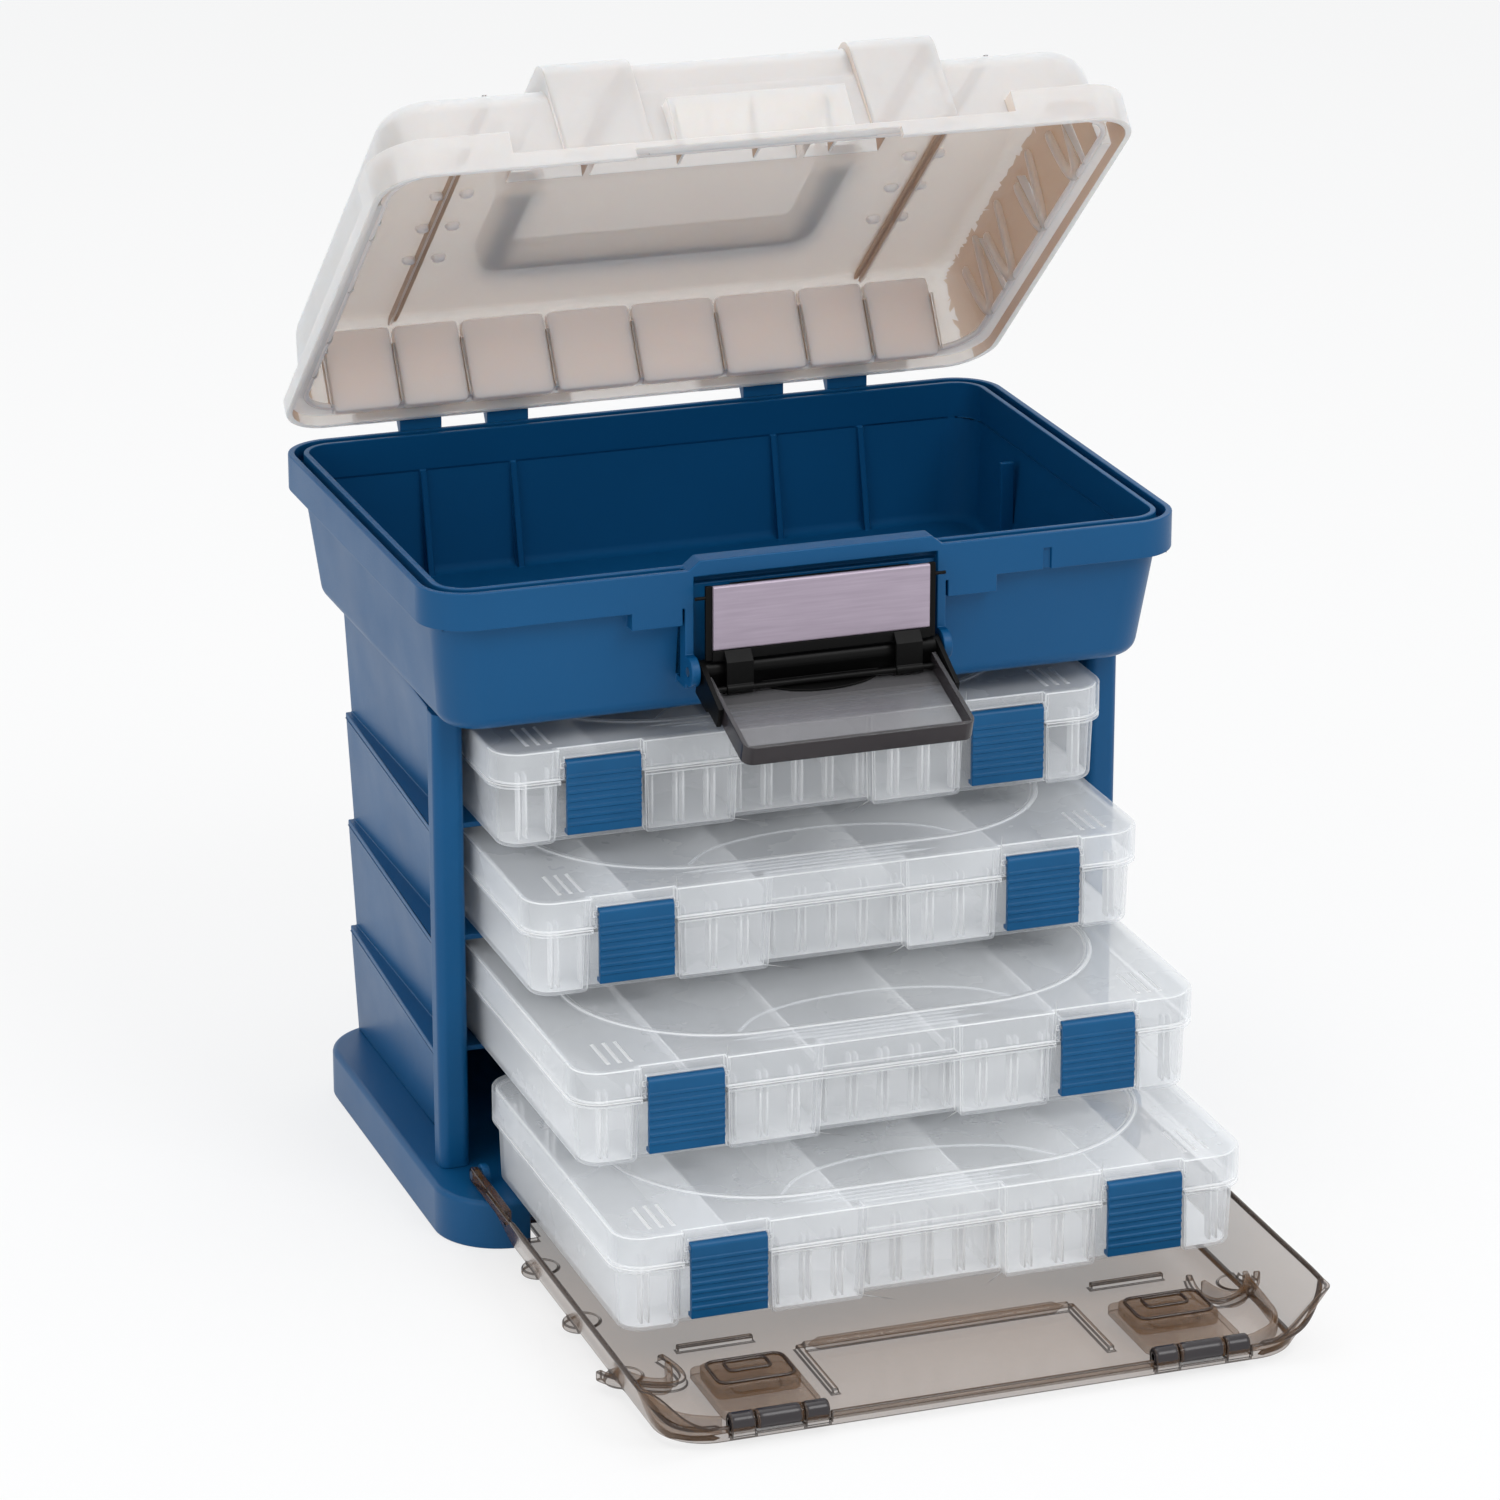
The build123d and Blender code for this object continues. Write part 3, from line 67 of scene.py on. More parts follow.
# Blend between two colours as a value goes from low to high
def ramp(tree, value, low, high, lowColour, highColour):
    mapping = tree.nodes.new("ShaderNodeValToRGB")
    first, last = mapping.color_ramp.elements
    first.position, last.position = low, high
    first.color, last.color = (*lowColour, 1), (*highColour, 1)
    tree.links.new(value, mapping.inputs["Fac"])
    return mapping.outputs["Color"]


# Value from 0 to 1 spread over low to high
def mapRange(tree, value, low, high):
    spread = tree.nodes.new("ShaderNodeMapRange")
    spread.inputs["To Min"].default_value = low
    spread.inputs["To Max"].default_value = high
    tree.links.new(value, spread.inputs["Value"])
    return spread.outputs["Result"]


bumpDepth = {"ripple": 0.002, "grain": 0.0004, "streak": 0.0002}


# Fine moulded grain over a slow ripple, as bump
def grain(tree, shader, place, look):
    fine = noiseValue(tree, place, look["grainPerMetre"], detail=3)
    slow = noiseValue(tree, place, look["ripplePerMetre"], detail=2)
    slowBump = tree.nodes.new("ShaderNodeBump")
    slowBump.inputs["Strength"].default_value = look["ripple"]
    slowBump.inputs["Distance"].default_value = bumpDepth["ripple"]
    tree.links.new(slow, slowBump.inputs["Height"])
    fineBump = tree.nodes.new("ShaderNodeBump")
    fineBump.inputs["Strength"].default_value = look["grain"]
    fineBump.inputs["Distance"].default_value = bumpDepth["grain"]
    tree.links.new(fine, fineBump.inputs["Height"])
    tree.links.new(slowBump.outputs["Normal"], fineBump.inputs["Normal"])
    tree.links.new(fineBump.outputs["Normal"], shader.inputs["Normal"])


# Moulded plastic, opaque or see-through, that turns denser toward its edges. Light that it
# scatters also passes on through it, so its shade is lighter than its look.
def plastic(name, look):
    material, tree, shader, place = newMaterial(name)
    patches = noiseValue(tree, place, look["patchPerMetre"], detail=1)
    colour = ramp(tree, patches, 0.2, 0.8, look["darker"], look["colour"])
    tree.links.new(colour, shader.inputs["Base Color"])
    smudges = noiseValue(tree, place, look["smudgePerMetre"], detail=5)
    roughness = mapRange(tree, smudges, *look["roughness"])
    tree.links.new(roughness, shader.inputs["Roughness"])
    shader.inputs["IOR"].default_value = 1.5  # of moulded plastic
    shader.inputs["Specular IOR Level"].default_value = look.get("specular", 0.5)
    grain(tree, shader, place, look)
    if "alpha" in look:
        facing = tree.nodes.new("ShaderNodeLayerWeight")
        facing.inputs["Blend"].default_value = 0.5
        sharpen = tree.nodes.new("ShaderNodeMath")
        sharpen.operation = "POWER"
        sharpen.inputs[1].default_value = look["edgePower"]
        tree.links.new(facing.outputs["Facing"], sharpen.inputs[0])
        density = mapRange(tree, sharpen.outputs[0], *look["alpha"])
        lightens = mapRange(tree, tree.nodes.new("ShaderNodeLightPath").outputs["Is Shadow Ray"],
                            1.0, look["shade"])
        shaded = tree.nodes.new("ShaderNodeMath")
        shaded.operation = "MULTIPLY"
        tree.links.new(density, shaded.inputs[0])
        tree.links.new(lightens, shaded.inputs[1])
        tree.links.new(shaded.outputs[0], shader.inputs["Alpha"])
    if "glow" in look:  # light that spreads inside the wall
        shader.inputs["Subsurface Weight"].default_value = look["glow"]
        shader.inputs["Subsurface Radius"].default_value = look["glowTint"]
        shader.inputs["Subsurface Scale"].default_value = look["glowReach"]
    return material


# Drawn or satin metal with fine scratches along X
def metal(name, look):
    material, tree, shader, place = newMaterial(name)
    stretch = tree.nodes.new("ShaderNodeMapping")
    stretch.inputs["Scale"].default_value = (0.05, 1, 1)  # streaks are 20 times as long as wide
    tree.links.new(place, stretch.inputs["Vector"])
    streaks = noiseValue(tree, stretch.outputs["Vector"], look["streakPerMetre"], detail=6)
    tree.links.new(ramp(tree, streaks, 0.3, 0.7, look["darker"], look["colour"]),
                   shader.inputs["Base Color"])
    tree.links.new(mapRange(tree, streaks, *look["roughness"]), shader.inputs["Roughness"])
    shader.inputs["Metallic"].default_value = look["metallic"]
    bump = tree.nodes.new("ShaderNodeBump")
    bump.inputs["Strength"].default_value = look["grain"]
    bump.inputs["Distance"].default_value = bumpDepth["streak"]
    tree.links.new(streaks, bump.inputs["Height"])
    tree.links.new(bump.outputs["Normal"], shader.inputs["Normal"])
    return material


# Looks: colours are linear, and each PerMetre value is how fine its noise is
blueLook = {
    "colour": (0.0035, 0.088, 0.232), "darker": (0.003, 0.076, 0.204), "patchPerMetre": 14,
    "roughness": (0.30, 0.46), "smudgePerMetre": 30, "specular": 0.22,
    "grainPerMetre": 2600, "grain": 0.16, "ripplePerMetre": 18, "ripple": 0.10,
}
latchBlueLook = {
    **blueLook, "colour": (0.004, 0.096, 0.245), "darker": (0.003, 0.082, 0.212),
    "roughness": (0.26, 0.40), "patchPerMetre": 40,
}
# Painted shade: the bin's inside is a darker blue than its outside, as well as matte
binInsideShadeLook = {
    **blueLook, "colour": (0.002, 0.066, 0.185), "darker": (0.0015, 0.058, 0.165), "specular": 0.06,
    "roughness": (0.55, 0.70),
}
milkyLook = {
    "colour": (0.93, 0.918, 0.90), "darker": (0.905, 0.89, 0.87), "patchPerMetre": 9,
    "roughness": (0.34, 0.50), "smudgePerMetre": 24, "specular": 0.4,
    "grainPerMetre": 2400, "grain": 0.14, "ripplePerMetre": 14, "ripple": 0.10,
    "alpha": (0.50, 1.0), "edgePower": 1.6, "shade": 0.9,
    "glow": 0.8, "glowTint": (1.0, 0.80, 0.68), "glowReach": 0.012,
}
# Painted shade: the lid's inside is a warmer, darker copy of the milky plastic
milkyInsideShadeLook = {
    **milkyLook, "colour": (0.90, 0.755, 0.675), "darker": (0.86, 0.71, 0.63), "alpha": (0.42, 1.0),
}
# Painted shade: the lid's inner side walls, a darker brown
milkySideShadeLook = {
    **milkyLook, "colour": (0.50, 0.365, 0.26), "darker": (0.45, 0.325, 0.23), "alpha": (0.70, 1.0),
}
# Painted shade: the brown flanks of the lid's ribs and the strips along them
milkyRibShadeLook = {
    **milkyLook, "colour": (0.42, 0.29, 0.205), "darker": (0.38, 0.26, 0.18), "alpha": (0.80, 1.0),
}
# Painted shade, lighter than the rest of the inside: the lid's pads, lugs and bead
milkyPadShadeLook = {
    **milkyLook, "colour": (0.90, 0.795, 0.755), "darker": (0.87, 0.76, 0.72), "alpha": (0.92, 1.0),
}
clearLook = {
    "colour": (0.95, 0.975, 1.0), "darker": (0.935, 0.96, 0.99), "patchPerMetre": 7,
    "roughness": (0.20, 0.34), "smudgePerMetre": 20,
    "grainPerMetre": 2400, "grain": 0.05, "ripplePerMetre": 12, "ripple": 0.04,
    "alpha": (0.23, 0.96), "edgePower": 5, "shade": 0.04,
}
clearEdgeLook = {
    **clearLook, "colour": (0.98, 0.985, 0.99), "darker": (0.97, 0.975, 0.985), "alpha": (0.66, 1.0),
}
dividerLook = {
    **clearLook, "colour": (0.99, 0.993, 0.997), "darker": (0.98, 0.985, 0.99), "alpha": (0.90, 1.0),
}
# Painted light: the tray floors, a denser, whiter lit copy of the clear plastic
trayFloorLitLook = {
    **clearLook, "colour": (0.975, 0.985, 1.0), "darker": (0.955, 0.967, 0.985), "alpha": (0.92, 1.0),
}
smokeLook = {
    "colour": (0.19, 0.086, 0.022), "darker": (0.16, 0.072, 0.018), "patchPerMetre": 8,
    "roughness": (0.08, 0.18), "smudgePerMetre": 26, "specular": 0.5,
    "grainPerMetre": 1800, "grain": 0.03, "ripplePerMetre": 16, "ripple": 0.05,
    "alpha": (0.25, 0.92), "edgePower": 3.0, "shade": 0.5,
}
smokeEdgeLook = {
    **smokeLook, "colour": (0.050, 0.027, 0.016), "darker": (0.040, 0.022, 0.013), "alpha": (0.84, 1.0),
}
# Painted reflection: the cover's floor, a lighter grey smoke
coverFloorReflectionLook = {
    **smokeLook, "colour": (0.25, 0.245, 0.255), "darker": (0.23, 0.225, 0.235), "alpha": (0.36, 0.95),
    "edgePower": 4,
}
charcoalLook = {
    "colour": (0.032, 0.027, 0.030), "darker": (0.026, 0.022, 0.025), "patchPerMetre": 30,
    "roughness": (0.16, 0.28), "smudgePerMetre": 40, "specular": 0.4,
    "grainPerMetre": 2400, "grain": 0.06, "ripplePerMetre": 20, "ripple": 0.05,
}
blackLook = {
    "colour": (0.004, 0.004, 0.004), "darker": (0.003, 0.003, 0.003), "patchPerMetre": 40,
    "roughness": (0.28, 0.42), "smudgePerMetre": 60, "specular": 0.1,
    "grainPerMetre": 2600, "grain": 0.10, "ripplePerMetre": 30, "ripple": 0.05,
}
greyLook = {
    "colour": (0.085, 0.072, 0.076), "darker": (0.066, 0.056, 0.060), "patchPerMetre": 30,
    "roughness": (0.40, 0.55), "smudgePerMetre": 40,
    "grainPerMetre": 2400, "grain": 0.12, "ripplePerMetre": 20, "ripple": 0.06,
}
satinLook = {
    "colour": (0.43, 0.36, 0.44), "darker": (0.37, 0.31, 0.38), "streakPerMetre": 900,
    "roughness": (0.34, 0.46), "metallic": 0.35, "grain": 0.05,
}
steelLook = {
    "colour": (0.60, 0.60, 0.61), "darker": (0.46, 0.46, 0.48), "streakPerMetre": 1500,
    "roughness": (0.24, 0.38), "metallic": 1.0, "grain": 0.08,
}
materials = {
    "blue_plastic": plastic("bluePlastic", blueLook),
    "latch_blue": plastic("latchBlue", latchBlueLook),
    "milky_plastic": plastic("milkyPlastic", milkyLook),
    "clear_plastic": plastic("clearPlastic", clearLook),
    "smoked_plastic": plastic("smokedPlastic", smokeLook),
    "black_plastic": plastic("blackPlastic", blackLook),
    "grey_plastic": plastic("greyPlastic", greyLook),
    "satin_plastic": metal("satinPlate", satinLook),
    "steel_pin": metal("steelPin", steelLook),
}
milkyInsideShade = plastic("milkyInsideShade", milkyInsideShadeLook)
milkySideShade = plastic("milkySideShade", milkySideShadeLook)
milkyRibShade = plastic("milkyRibShade", milkyRibShadeLook)
milkyPadShade = plastic("milkyPadShade", milkyPadShadeLook)
clearEdge = plastic("clearEdge", clearEdgeLook)
dividerPlastic = plastic("dividerPlastic", dividerLook)
trayFloorLit = plastic("trayFloorLit", trayFloorLitLook)
binInsideShade = plastic("binInsideShade", binInsideShadeLook)
smokeEdge = plastic("smokeEdge", smokeEdgeLook)
coverFloorReflection = plastic("coverFloorReflection", coverFloorReflectionLook)
charcoal = plastic("charcoal", charcoalLook)
slotOf = {entry["node"]: entry["material_slot"] for entry in frame["record"]["subparts"]}
bodyOf = {node: body for body, members in frame["record"]["behaviour"]["bodies"].items()
          for node in members}
for name, node in nodes.items():
    node.data.materials.clear()
    node.data.materials.append(materials[slotOf[name]])
print("materials made:", len(materials))


softLook = {"flat": 0.6, "sharp": 32, "radius": 0.5, "segments": 2, "weld": 1e-6, "flatWeight": 80,
            "edgeMaterial": -1}


# Softened pieces: a copy of a moulded piece whose flats are merged and whose edges are rounded.
# Only edges turning by more than the sharp angle get a weight, and the bevel follows the weights.
# paint gives each flat face its material number from its centre (mm) and normal.
def soften(name, look, extra=(), paint=None):
    source = nodes[name]
    piece = bpy.data.objects.new(name + ".soft", source.data.copy())
    bpy.context.scene.collection.objects.link(piece)
    shape = bmesh.new()
    shape.from_mesh(piece.data)
    bmesh.ops.remove_doubles(shape, verts=shape.verts, dist=look["weld"])
    bmesh.ops.dissolve_limit(shape, angle_limit=radians(look["flat"]), verts=shape.verts,
                             edges=shape.edges)
    weights = shape.edges.layers.float.new("bevel_weight_edge")
    for edge in shape.edges:
        turn = edge.calc_face_angle(0) if len(edge.link_faces) == 2 else 0
        edge[weights] = 1.0 if turn > radians(look["sharp"]) else 0.0
    shape.to_mesh(piece.data)
    shape.free()
    for material in extra:
        piece.data.materials.append(material)
    if paint:
        count = len(piece.data.polygons)
        centres, normals = np.empty(count * 3), np.empty(count * 3)
        piece.data.polygons.foreach_get("center", centres)
        piece.data.polygons.foreach_get("normal", normals)
        numbers = paint(centres.reshape(-1, 3) / mm, normals.reshape(-1, 3))
        piece.data.polygons.foreach_set("material_index", numbers.astype(np.int32))
    bevel = piece.modifiers.new("round", "BEVEL")
    bevel.width = look["radius"] * mm
    bevel.segments = look["segments"]
    bevel.limit_method = "WEIGHT"
    bevel.use_clamp_overlap = False
    bevel.material = look["edgeMaterial"]
    piece.data.shade_smooth()
    settle = piece.modifiers.new("flats", "WEIGHTED_NORMAL")
    settle.keep_sharp = False
    settle.weight = look["flatWeight"]
    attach(piece, bodyOf[name])
    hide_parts(name)
    return piece


# Softened look with its own radius (mm), and with edges in the first extra material or not
def rounded(radius, ownEdges=False):
    return {**softLook, "radius": radius, "edgeMaterial": 1 if ownEdges else -1}


lidLook = {
    "openAngle": 41.5, "hinge": (137, 304.5), "middle": (0, 12, 318), "straps": (48, 49, 50, 87, 88, 89),
    "innerHalfWidth": 153, "innerY": (-97, 121), "innerZ": (298, 341), "ribShadeFacing": 0.95,
    "sideShadeFacing": 0.7,
}


# Points or directions of the opened lid, turned back about a hinge to where they lie when it is
# shut: y and z from the hinge go to y cos a - z sin a and y sin a + z cos a
def shutAgain(points, hinge):
    a = radians(lidLook["openAngle"])
    y, z = points[:, 1] - hinge[0], points[:, 2] - hinge[1]
    return np.stack([points[:, 0], hinge[0] + y * cos(a) - z * sin(a),
                     hinge[1] + y * sin(a) + z * cos(a)], axis=1)


# Inward faces of the lid, whose normal points to its middle, get a warmer, darker colour as painted
# shade, darker still at its two sides. Rib flanks, which face along X within the walls and aren't the
# straps', are painted brown as shade.
def paintLid(centres, normals):
    centres, normals = shutAgain(centres, lidLook["hinge"]), shutAgain(normals, (0, 0))
    across, y, z = np.abs(centres[:, 0]), centres[:, 1], centres[:, 2]
    facing = np.abs(normals[:, 0])
    shadedInward = ((np.array(lidLook["middle"]) - centres) * normals).sum(axis=1) > 0
    (front, back), (low, high) = lidLook["innerY"], lidLook["innerZ"]
    within = (across < lidLook["innerHalfWidth"]) & (y > front) & (y < back) & (z > low) & (z < high)
    strap = np.isin(np.round(across), lidLook["straps"])
    ribShade = within & ~strap & (facing > lidLook["ribShadeFacing"])
    sideShade = shadedInward & (across > lidLook["innerHalfWidth"]) & (facing > lidLook["sideShadeFacing"])
    return np.select([ribShade, sideShade, shadedInward], [2, 3, 1], 0)


coverLook = {"tilt": 18, "floorFacing": 0.9}


# The latch cover's floor, whose normal lies along its tilted up, is clear smoke in a lighter grey that
# stands in as painted reflection, and its walls are charcoal
def paintCover(centres, normals):
    tilt = radians(coverLook["tilt"])
    facing = np.abs(normals[:, 2] * cos(tilt) - normals[:, 1] * sin(tilt))
    return np.where(facing > coverLook["floorFacing"], 0, 1)


boxLook = {
    "homeY": -85, "drawn": (11.7, 54.7, 118.7, 171.7), "firstShelf": 22.3, "pitch": 51.5, "height": 44.5,
    "oval": (118, 74, 68), "ovalMiddle": 92, "ovalLine": (1.0, 0.62), "thinLine": (0.8, 0.55),
    "arc": ((-62, 21), (-48, 36), (-26, 45), (0, 48), (26, 45), (48, 36), (62, 21)),
    "bars": ((-68, 40, 14.2), (-58, 34, 10.6), (-46, 46, 7.2)), "lineTip": 1.5,
    "slotPitch": 14, "slotReach": 126, "slotGap": 1.5, "slotHalf": (0.5, 2.6, 15), "slotMiddle": 18,
    "slotSink": 0.6, "slotPower": 0.12,
    "backWall": 179.2, "frontWalls": (10.8, 5.0, 8.0, 5.5), "frontBreaks": (32, 71, 113),
    "floorTop": 4, "floorFacing": 0.9,
}


# A tray's floor, which faces up low in its box, is a lit copy of the clear plastic as painted light:
# denser and whiter than the walls and the lid that it is seen through
def paintTray(centres, normals):
    local = (centres[:, 2] - boxLook["firstShelf"]) % boxLook["pitch"]
    floor = (normals[:, 2] > boxLook["floorFacing"]) & (local < boxLook["floorTop"])
    return np.where(floor, 2, 0)


binLook = {"middle": (0, 12, 275), "innerZ": (231, 296)}


# The bin's inner walls and floor, whose normals point to its middle, are matte, and darker as painted shade
def paintBin(centres, normals):
    shadedInward = ((np.array(binLook["middle"]) - centres) * normals).sum(axis=1) > 0
    low, high = binLook["innerZ"]
    return np.where(shadedInward & (centres[:, 2] > low) & (centres[:, 2] < high), 1, 0)


# Radii of the rounded edges (mm), first of the pieces that keep one material
plainRadius = {
    "plinth": 0.7, "rack_wall_left": 0.5, "rack_wall_right": 0.5, "carry_handle": 0.8,
    "latch_lever_frame": 0.3, "draw_frame": 0.25, "draw_plate": 0.3,
}
paintedRadius = {"bin": 0.6, "lid": 0.5, "door": 0.75, "cover": 0.5, "box": 0.45, "dividers": 0.3,
                 "latch": 0.3}
for name, radius in plainRadius.items():
    soften(name, rounded(radius))
soften("top_bin", rounded(paintedRadius["bin"]), (binInsideShade,), paintBin)
soften("lid_shell", rounded(paintedRadius["lid"]), (milkyInsideShade, milkyRibShade, milkySideShade), paintLid)
soften("door_panel", rounded(paintedRadius["door"], ownEdges=True), (smokeEdge,))
cover = soften("latch_cover", rounded(paintedRadius["cover"]), (charcoal,), paintCover)
# The cover's floor takes the lighter grey of painted reflection
cover.data.materials[0] = coverFloorReflection
for name in nodes:
    if name.endswith("_tray"):
        soften(name, rounded(paintedRadius["box"], ownEdges=True), (clearEdge, trayFloorLit), paintTray)
    elif name.startswith("box_") and name.endswith("_lid"):
        soften(name, rounded(paintedRadius["box"], ownEdges=True), (clearEdge,))
    elif name.endswith("_dividers"):
        plates = soften(name, rounded(paintedRadius["dividers"], ownEdges=True), (clearEdge,))
        plates.data.materials[0] = dividerPlastic
    elif "_latch_" in name and name.startswith("box") and not name.endswith("pins"):
        soften(name, rounded(paintedRadius["latch"]))
for side in ("left", "right"):
    soften("door_latch_" + side, rounded(paintedRadius["latch"], ownEdges=True), (smokeEdge,))
print("edges rounded")


# A bar is a profile carried along a path: station + swell (profile x times side + profile y times
# lift), where side is along cross up and lift is side cross along
def sweep(path, profile, up=(0, 0, 1), closed=False, swell=None):
    path = np.asarray(path, float)
    if closed:
        along = np.roll(path, -1, axis=0) - np.roll(path, 1, axis=0)
    else:
        along = np.gradient(path, axis=0)
    along /= np.linalg.norm(along, axis=1)[:, None]
    side = np.cross(along, np.asarray(up, float))
    side /= np.linalg.norm(side, axis=1)[:, None]
    lift = np.cross(side, along)
    scale = np.ones(len(path)) if swell is None else np.asarray(swell)
    return (path[:, None] + scale[:, None, None]
            * (profile[None, :, :1] * side[:, None] + profile[None, :, 1:] * lift[:, None]))


# Profile of a flattened round: x = a cos^p, y = b sin^p, with p of 1 an ellipse and less a box
def roundProfile(halfWidth, halfHeight, power=1.0, count=20):
    angle = np.arange(count) * 2 * pi / count
    wide, high = np.cos(angle), np.sin(angle)
    return np.stack([halfWidth * np.sign(wide) * np.abs(wide) ** power,
                     halfHeight * np.sign(high) * np.abs(high) ** power], axis=1)


# A pillow: rings of the flattened round, shrunk by cos^p of the latitude and raised by sin^p of it
def pillow(centre, half, axes=np.eye(3), power=0.25, around=40, rows=15):
    latitude = np.linspace(-pi / 2, pi / 2, rows)
    shrink = np.abs(np.cos(latitude)) ** power
    height = np.sign(np.sin(latitude)) * np.abs(np.sin(latitude)) ** power
    ring = roundProfile(half[0], half[1], power, around)
    local = np.concatenate([shrink[:, None, None] * ring[None],
                            np.repeat((height * half[2])[:, None, None], around, axis=1)], axis=2)
    return np.asarray(centre, float) + local @ np.asarray(axes, float)


# End swell of a bar, so that it closes with a round tip: root of 1 - (1 - s)^2, where s is the
# length along the path from the nearer end over the tip's reach
def roundEnds(path, reach):
    steps = np.linalg.norm(np.diff(np.asarray(path, float), axis=0), axis=1)
    run = np.concatenate([[0], np.cumsum(steps)])
    left = np.clip(np.minimum(run, run[-1] - run) / reach, 0, 1)
    return np.sqrt(np.clip(1 - (1 - left) ** 2, 0.0004, 1))  # a tip keeps 2 % of the width


# Smooth path through a few points: each span is the cubic in t whose slope at each end is half the
# step between that end's two neighbours
def smoothPath(points, perSpan):
    points = np.asarray(points, float)
    padded = np.concatenate([2 * points[:1] - points[1:2], points, 2 * points[-1:] - points[-2:-1]])
    spans = np.stack([padded[:-3], padded[1:-2], padded[2:-1], padded[3:]], 1)
    t = np.linspace(0, 1, perSpan, endpoint=False)[None, :, None]
    before, start, end, after = (spans[:, i][:, None] for i in range(4))
    path = 0.5 * (2 * start + (end - before) * t + (2 * before - 5 * start + 4 * end - after) * t ** 2
                  + (3 * start - before - 3 * end + after) * t ** 3)
    return np.concatenate([path.reshape(-1, 3), points[-1:]])


ringWeld = 2e-6  # points closer than this, in metres, are one point


# One mesh piece from several grids of rings: quads join each ring to the next and close it round,
# and the first and last ring are filled unless the grid is a loop
def shell(name, grids, body, material, closed=False):
    vertices, faces, base = [], [], 0
    for rings in grids:
        count, around = rings.shape[:2]
        rows = np.arange(count if closed else count - 1)[:, None]
        columns = np.arange(around)[None, :]
        here, there, beside = rows * around, (rows + 1) % count * around, (columns + 1) % around
        quads = np.stack([here + columns, there + columns, there + beside, here + beside], axis=-1)
        faces += (quads.reshape(-1, 4) + base).tolist()
        if not closed:
            last = (count - 1) * around
            faces += [(np.arange(around) + base).tolist(), (np.arange(around)[::-1] + last + base).tolist()]
        vertices.append(rings.reshape(-1, 3))
        base += count * around
    mesh = bpy.data.meshes.new(name)
    mesh.from_pydata((np.concatenate(vertices) * mm).tolist(), [], faces)
    shape = bmesh.new()
    shape.from_mesh(mesh)
    bmesh.ops.remove_doubles(shape, verts=shape.verts, dist=ringWeld)
    bmesh.ops.recalc_face_normals(shape, faces=shape.faces)
    shape.to_mesh(mesh)
    shape.free()
    mesh.shade_smooth()
    mesh.materials.append(material)
    piece = bpy.data.objects.new(name, mesh)
    bpy.context.scene.collection.objects.link(piece)
    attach(piece, body)


# Rounded rectangle as points on a plane: in each quarter its inner corner + radius (cos, sin)
def ovalPath(halfWidth, halfDepth, radius, perCorner=16):
    angle = np.linspace(0, pi / 2, perCorner)
    corner = np.stack([np.cos(angle), np.sin(angle)], axis=1) * radius
    inner = np.array([halfWidth - radius, halfDepth - radius])
    turn = np.array([[0, -1], [1, 0]])
    quarters = [inner + corner,
                np.array([-inner[0], inner[1]]) + corner @ turn.T,
                -inner - corner, np.array([inner[0], -inner[1]]) - corner @ turn.T]
    return np.concatenate(quarters)


# Outline on a level plane: its points get the middle's x and y added, and one height
def levelPath(outline, middleX, middleY, height):
    x, y = outline[:, 0] + middleX, outline[:, 1] + middleY
    return np.column_stack([x, y, np.full(len(outline), height)])


# Utility boxes: raised lines on each lid in the lid's own plastic, and divider slots in each tray
for number, drawn in enumerate(boxLook["drawn"], 1):
    body, clear = f"box_{number}", materials["clear_plastic"]
    shelf = boxLook["firstShelf"] + (len(boxLook["drawn"]) - number) * boxLook["pitch"]
    top, front = shelf + boxLook["height"], boxLook["homeY"] - drawn
    oval = levelPath(ovalPath(*boxLook["oval"]), 0, front + boxLook["ovalMiddle"], top)
    shell(f"box{number}Oval", [sweep(oval, roundProfile(*boxLook["ovalLine"], count=10), closed=True)],
          body, clear, closed=True)
    thin = roundProfile(*boxLook["thinLine"], count=8)
    arc = smoothPath([(x, front + y, top) for x, y in boxLook["arc"]], perSpan=6)
    lines = [arc] + [np.linspace((x0, front + y, top), (x1, front + y, top), 12)
                     for x0, x1, y in boxLook["bars"]]
    shell(f"box{number}Lines",
          [sweep(path, thin, swell=roundEnds(path, boxLook["lineTip"])) for path in lines],
          body, clear)
    slots, inset = [], boxLook["slotHalf"][1] - boxLook["slotSink"]
    for place in np.arange(-boxLook["slotReach"], boxLook["slotReach"] + 1, boxLook["slotPitch"]):
        wall = boxLook["frontWalls"][int(np.searchsorted(boxLook["frontBreaks"], abs(place)))]
        for y in (front + wall + inset, front + boxLook["backWall"] - inset):
            for side in (-1, 1):
                middle = (place + side * boxLook["slotGap"], y, shelf + boxLook["slotMiddle"])
                slots.append(pillow(middle, boxLook["slotHalf"], power=boxLook["slotPower"],
                                    around=12, rows=5))
    shell(f"box{number}Slots", slots, body, clearEdge)
print("box lids embossed and trays slotted")


# Points of the shut lid where they lie when it is open: y and z from the hinge go to
# y cos a + z sin a and z cos a - y sin a
def opened(points):
    a = radians(lidLook["openAngle"])
    y, z = points[..., 1] - lidLook["hinge"][0], points[..., 2] - lidLook["hinge"][1]
    return np.stack([points[..., 0], lidLook["hinge"][0] + y * cos(a) + z * sin(a),
                     lidLook["hinge"][1] - y * sin(a) + z * cos(a)], axis=-1)


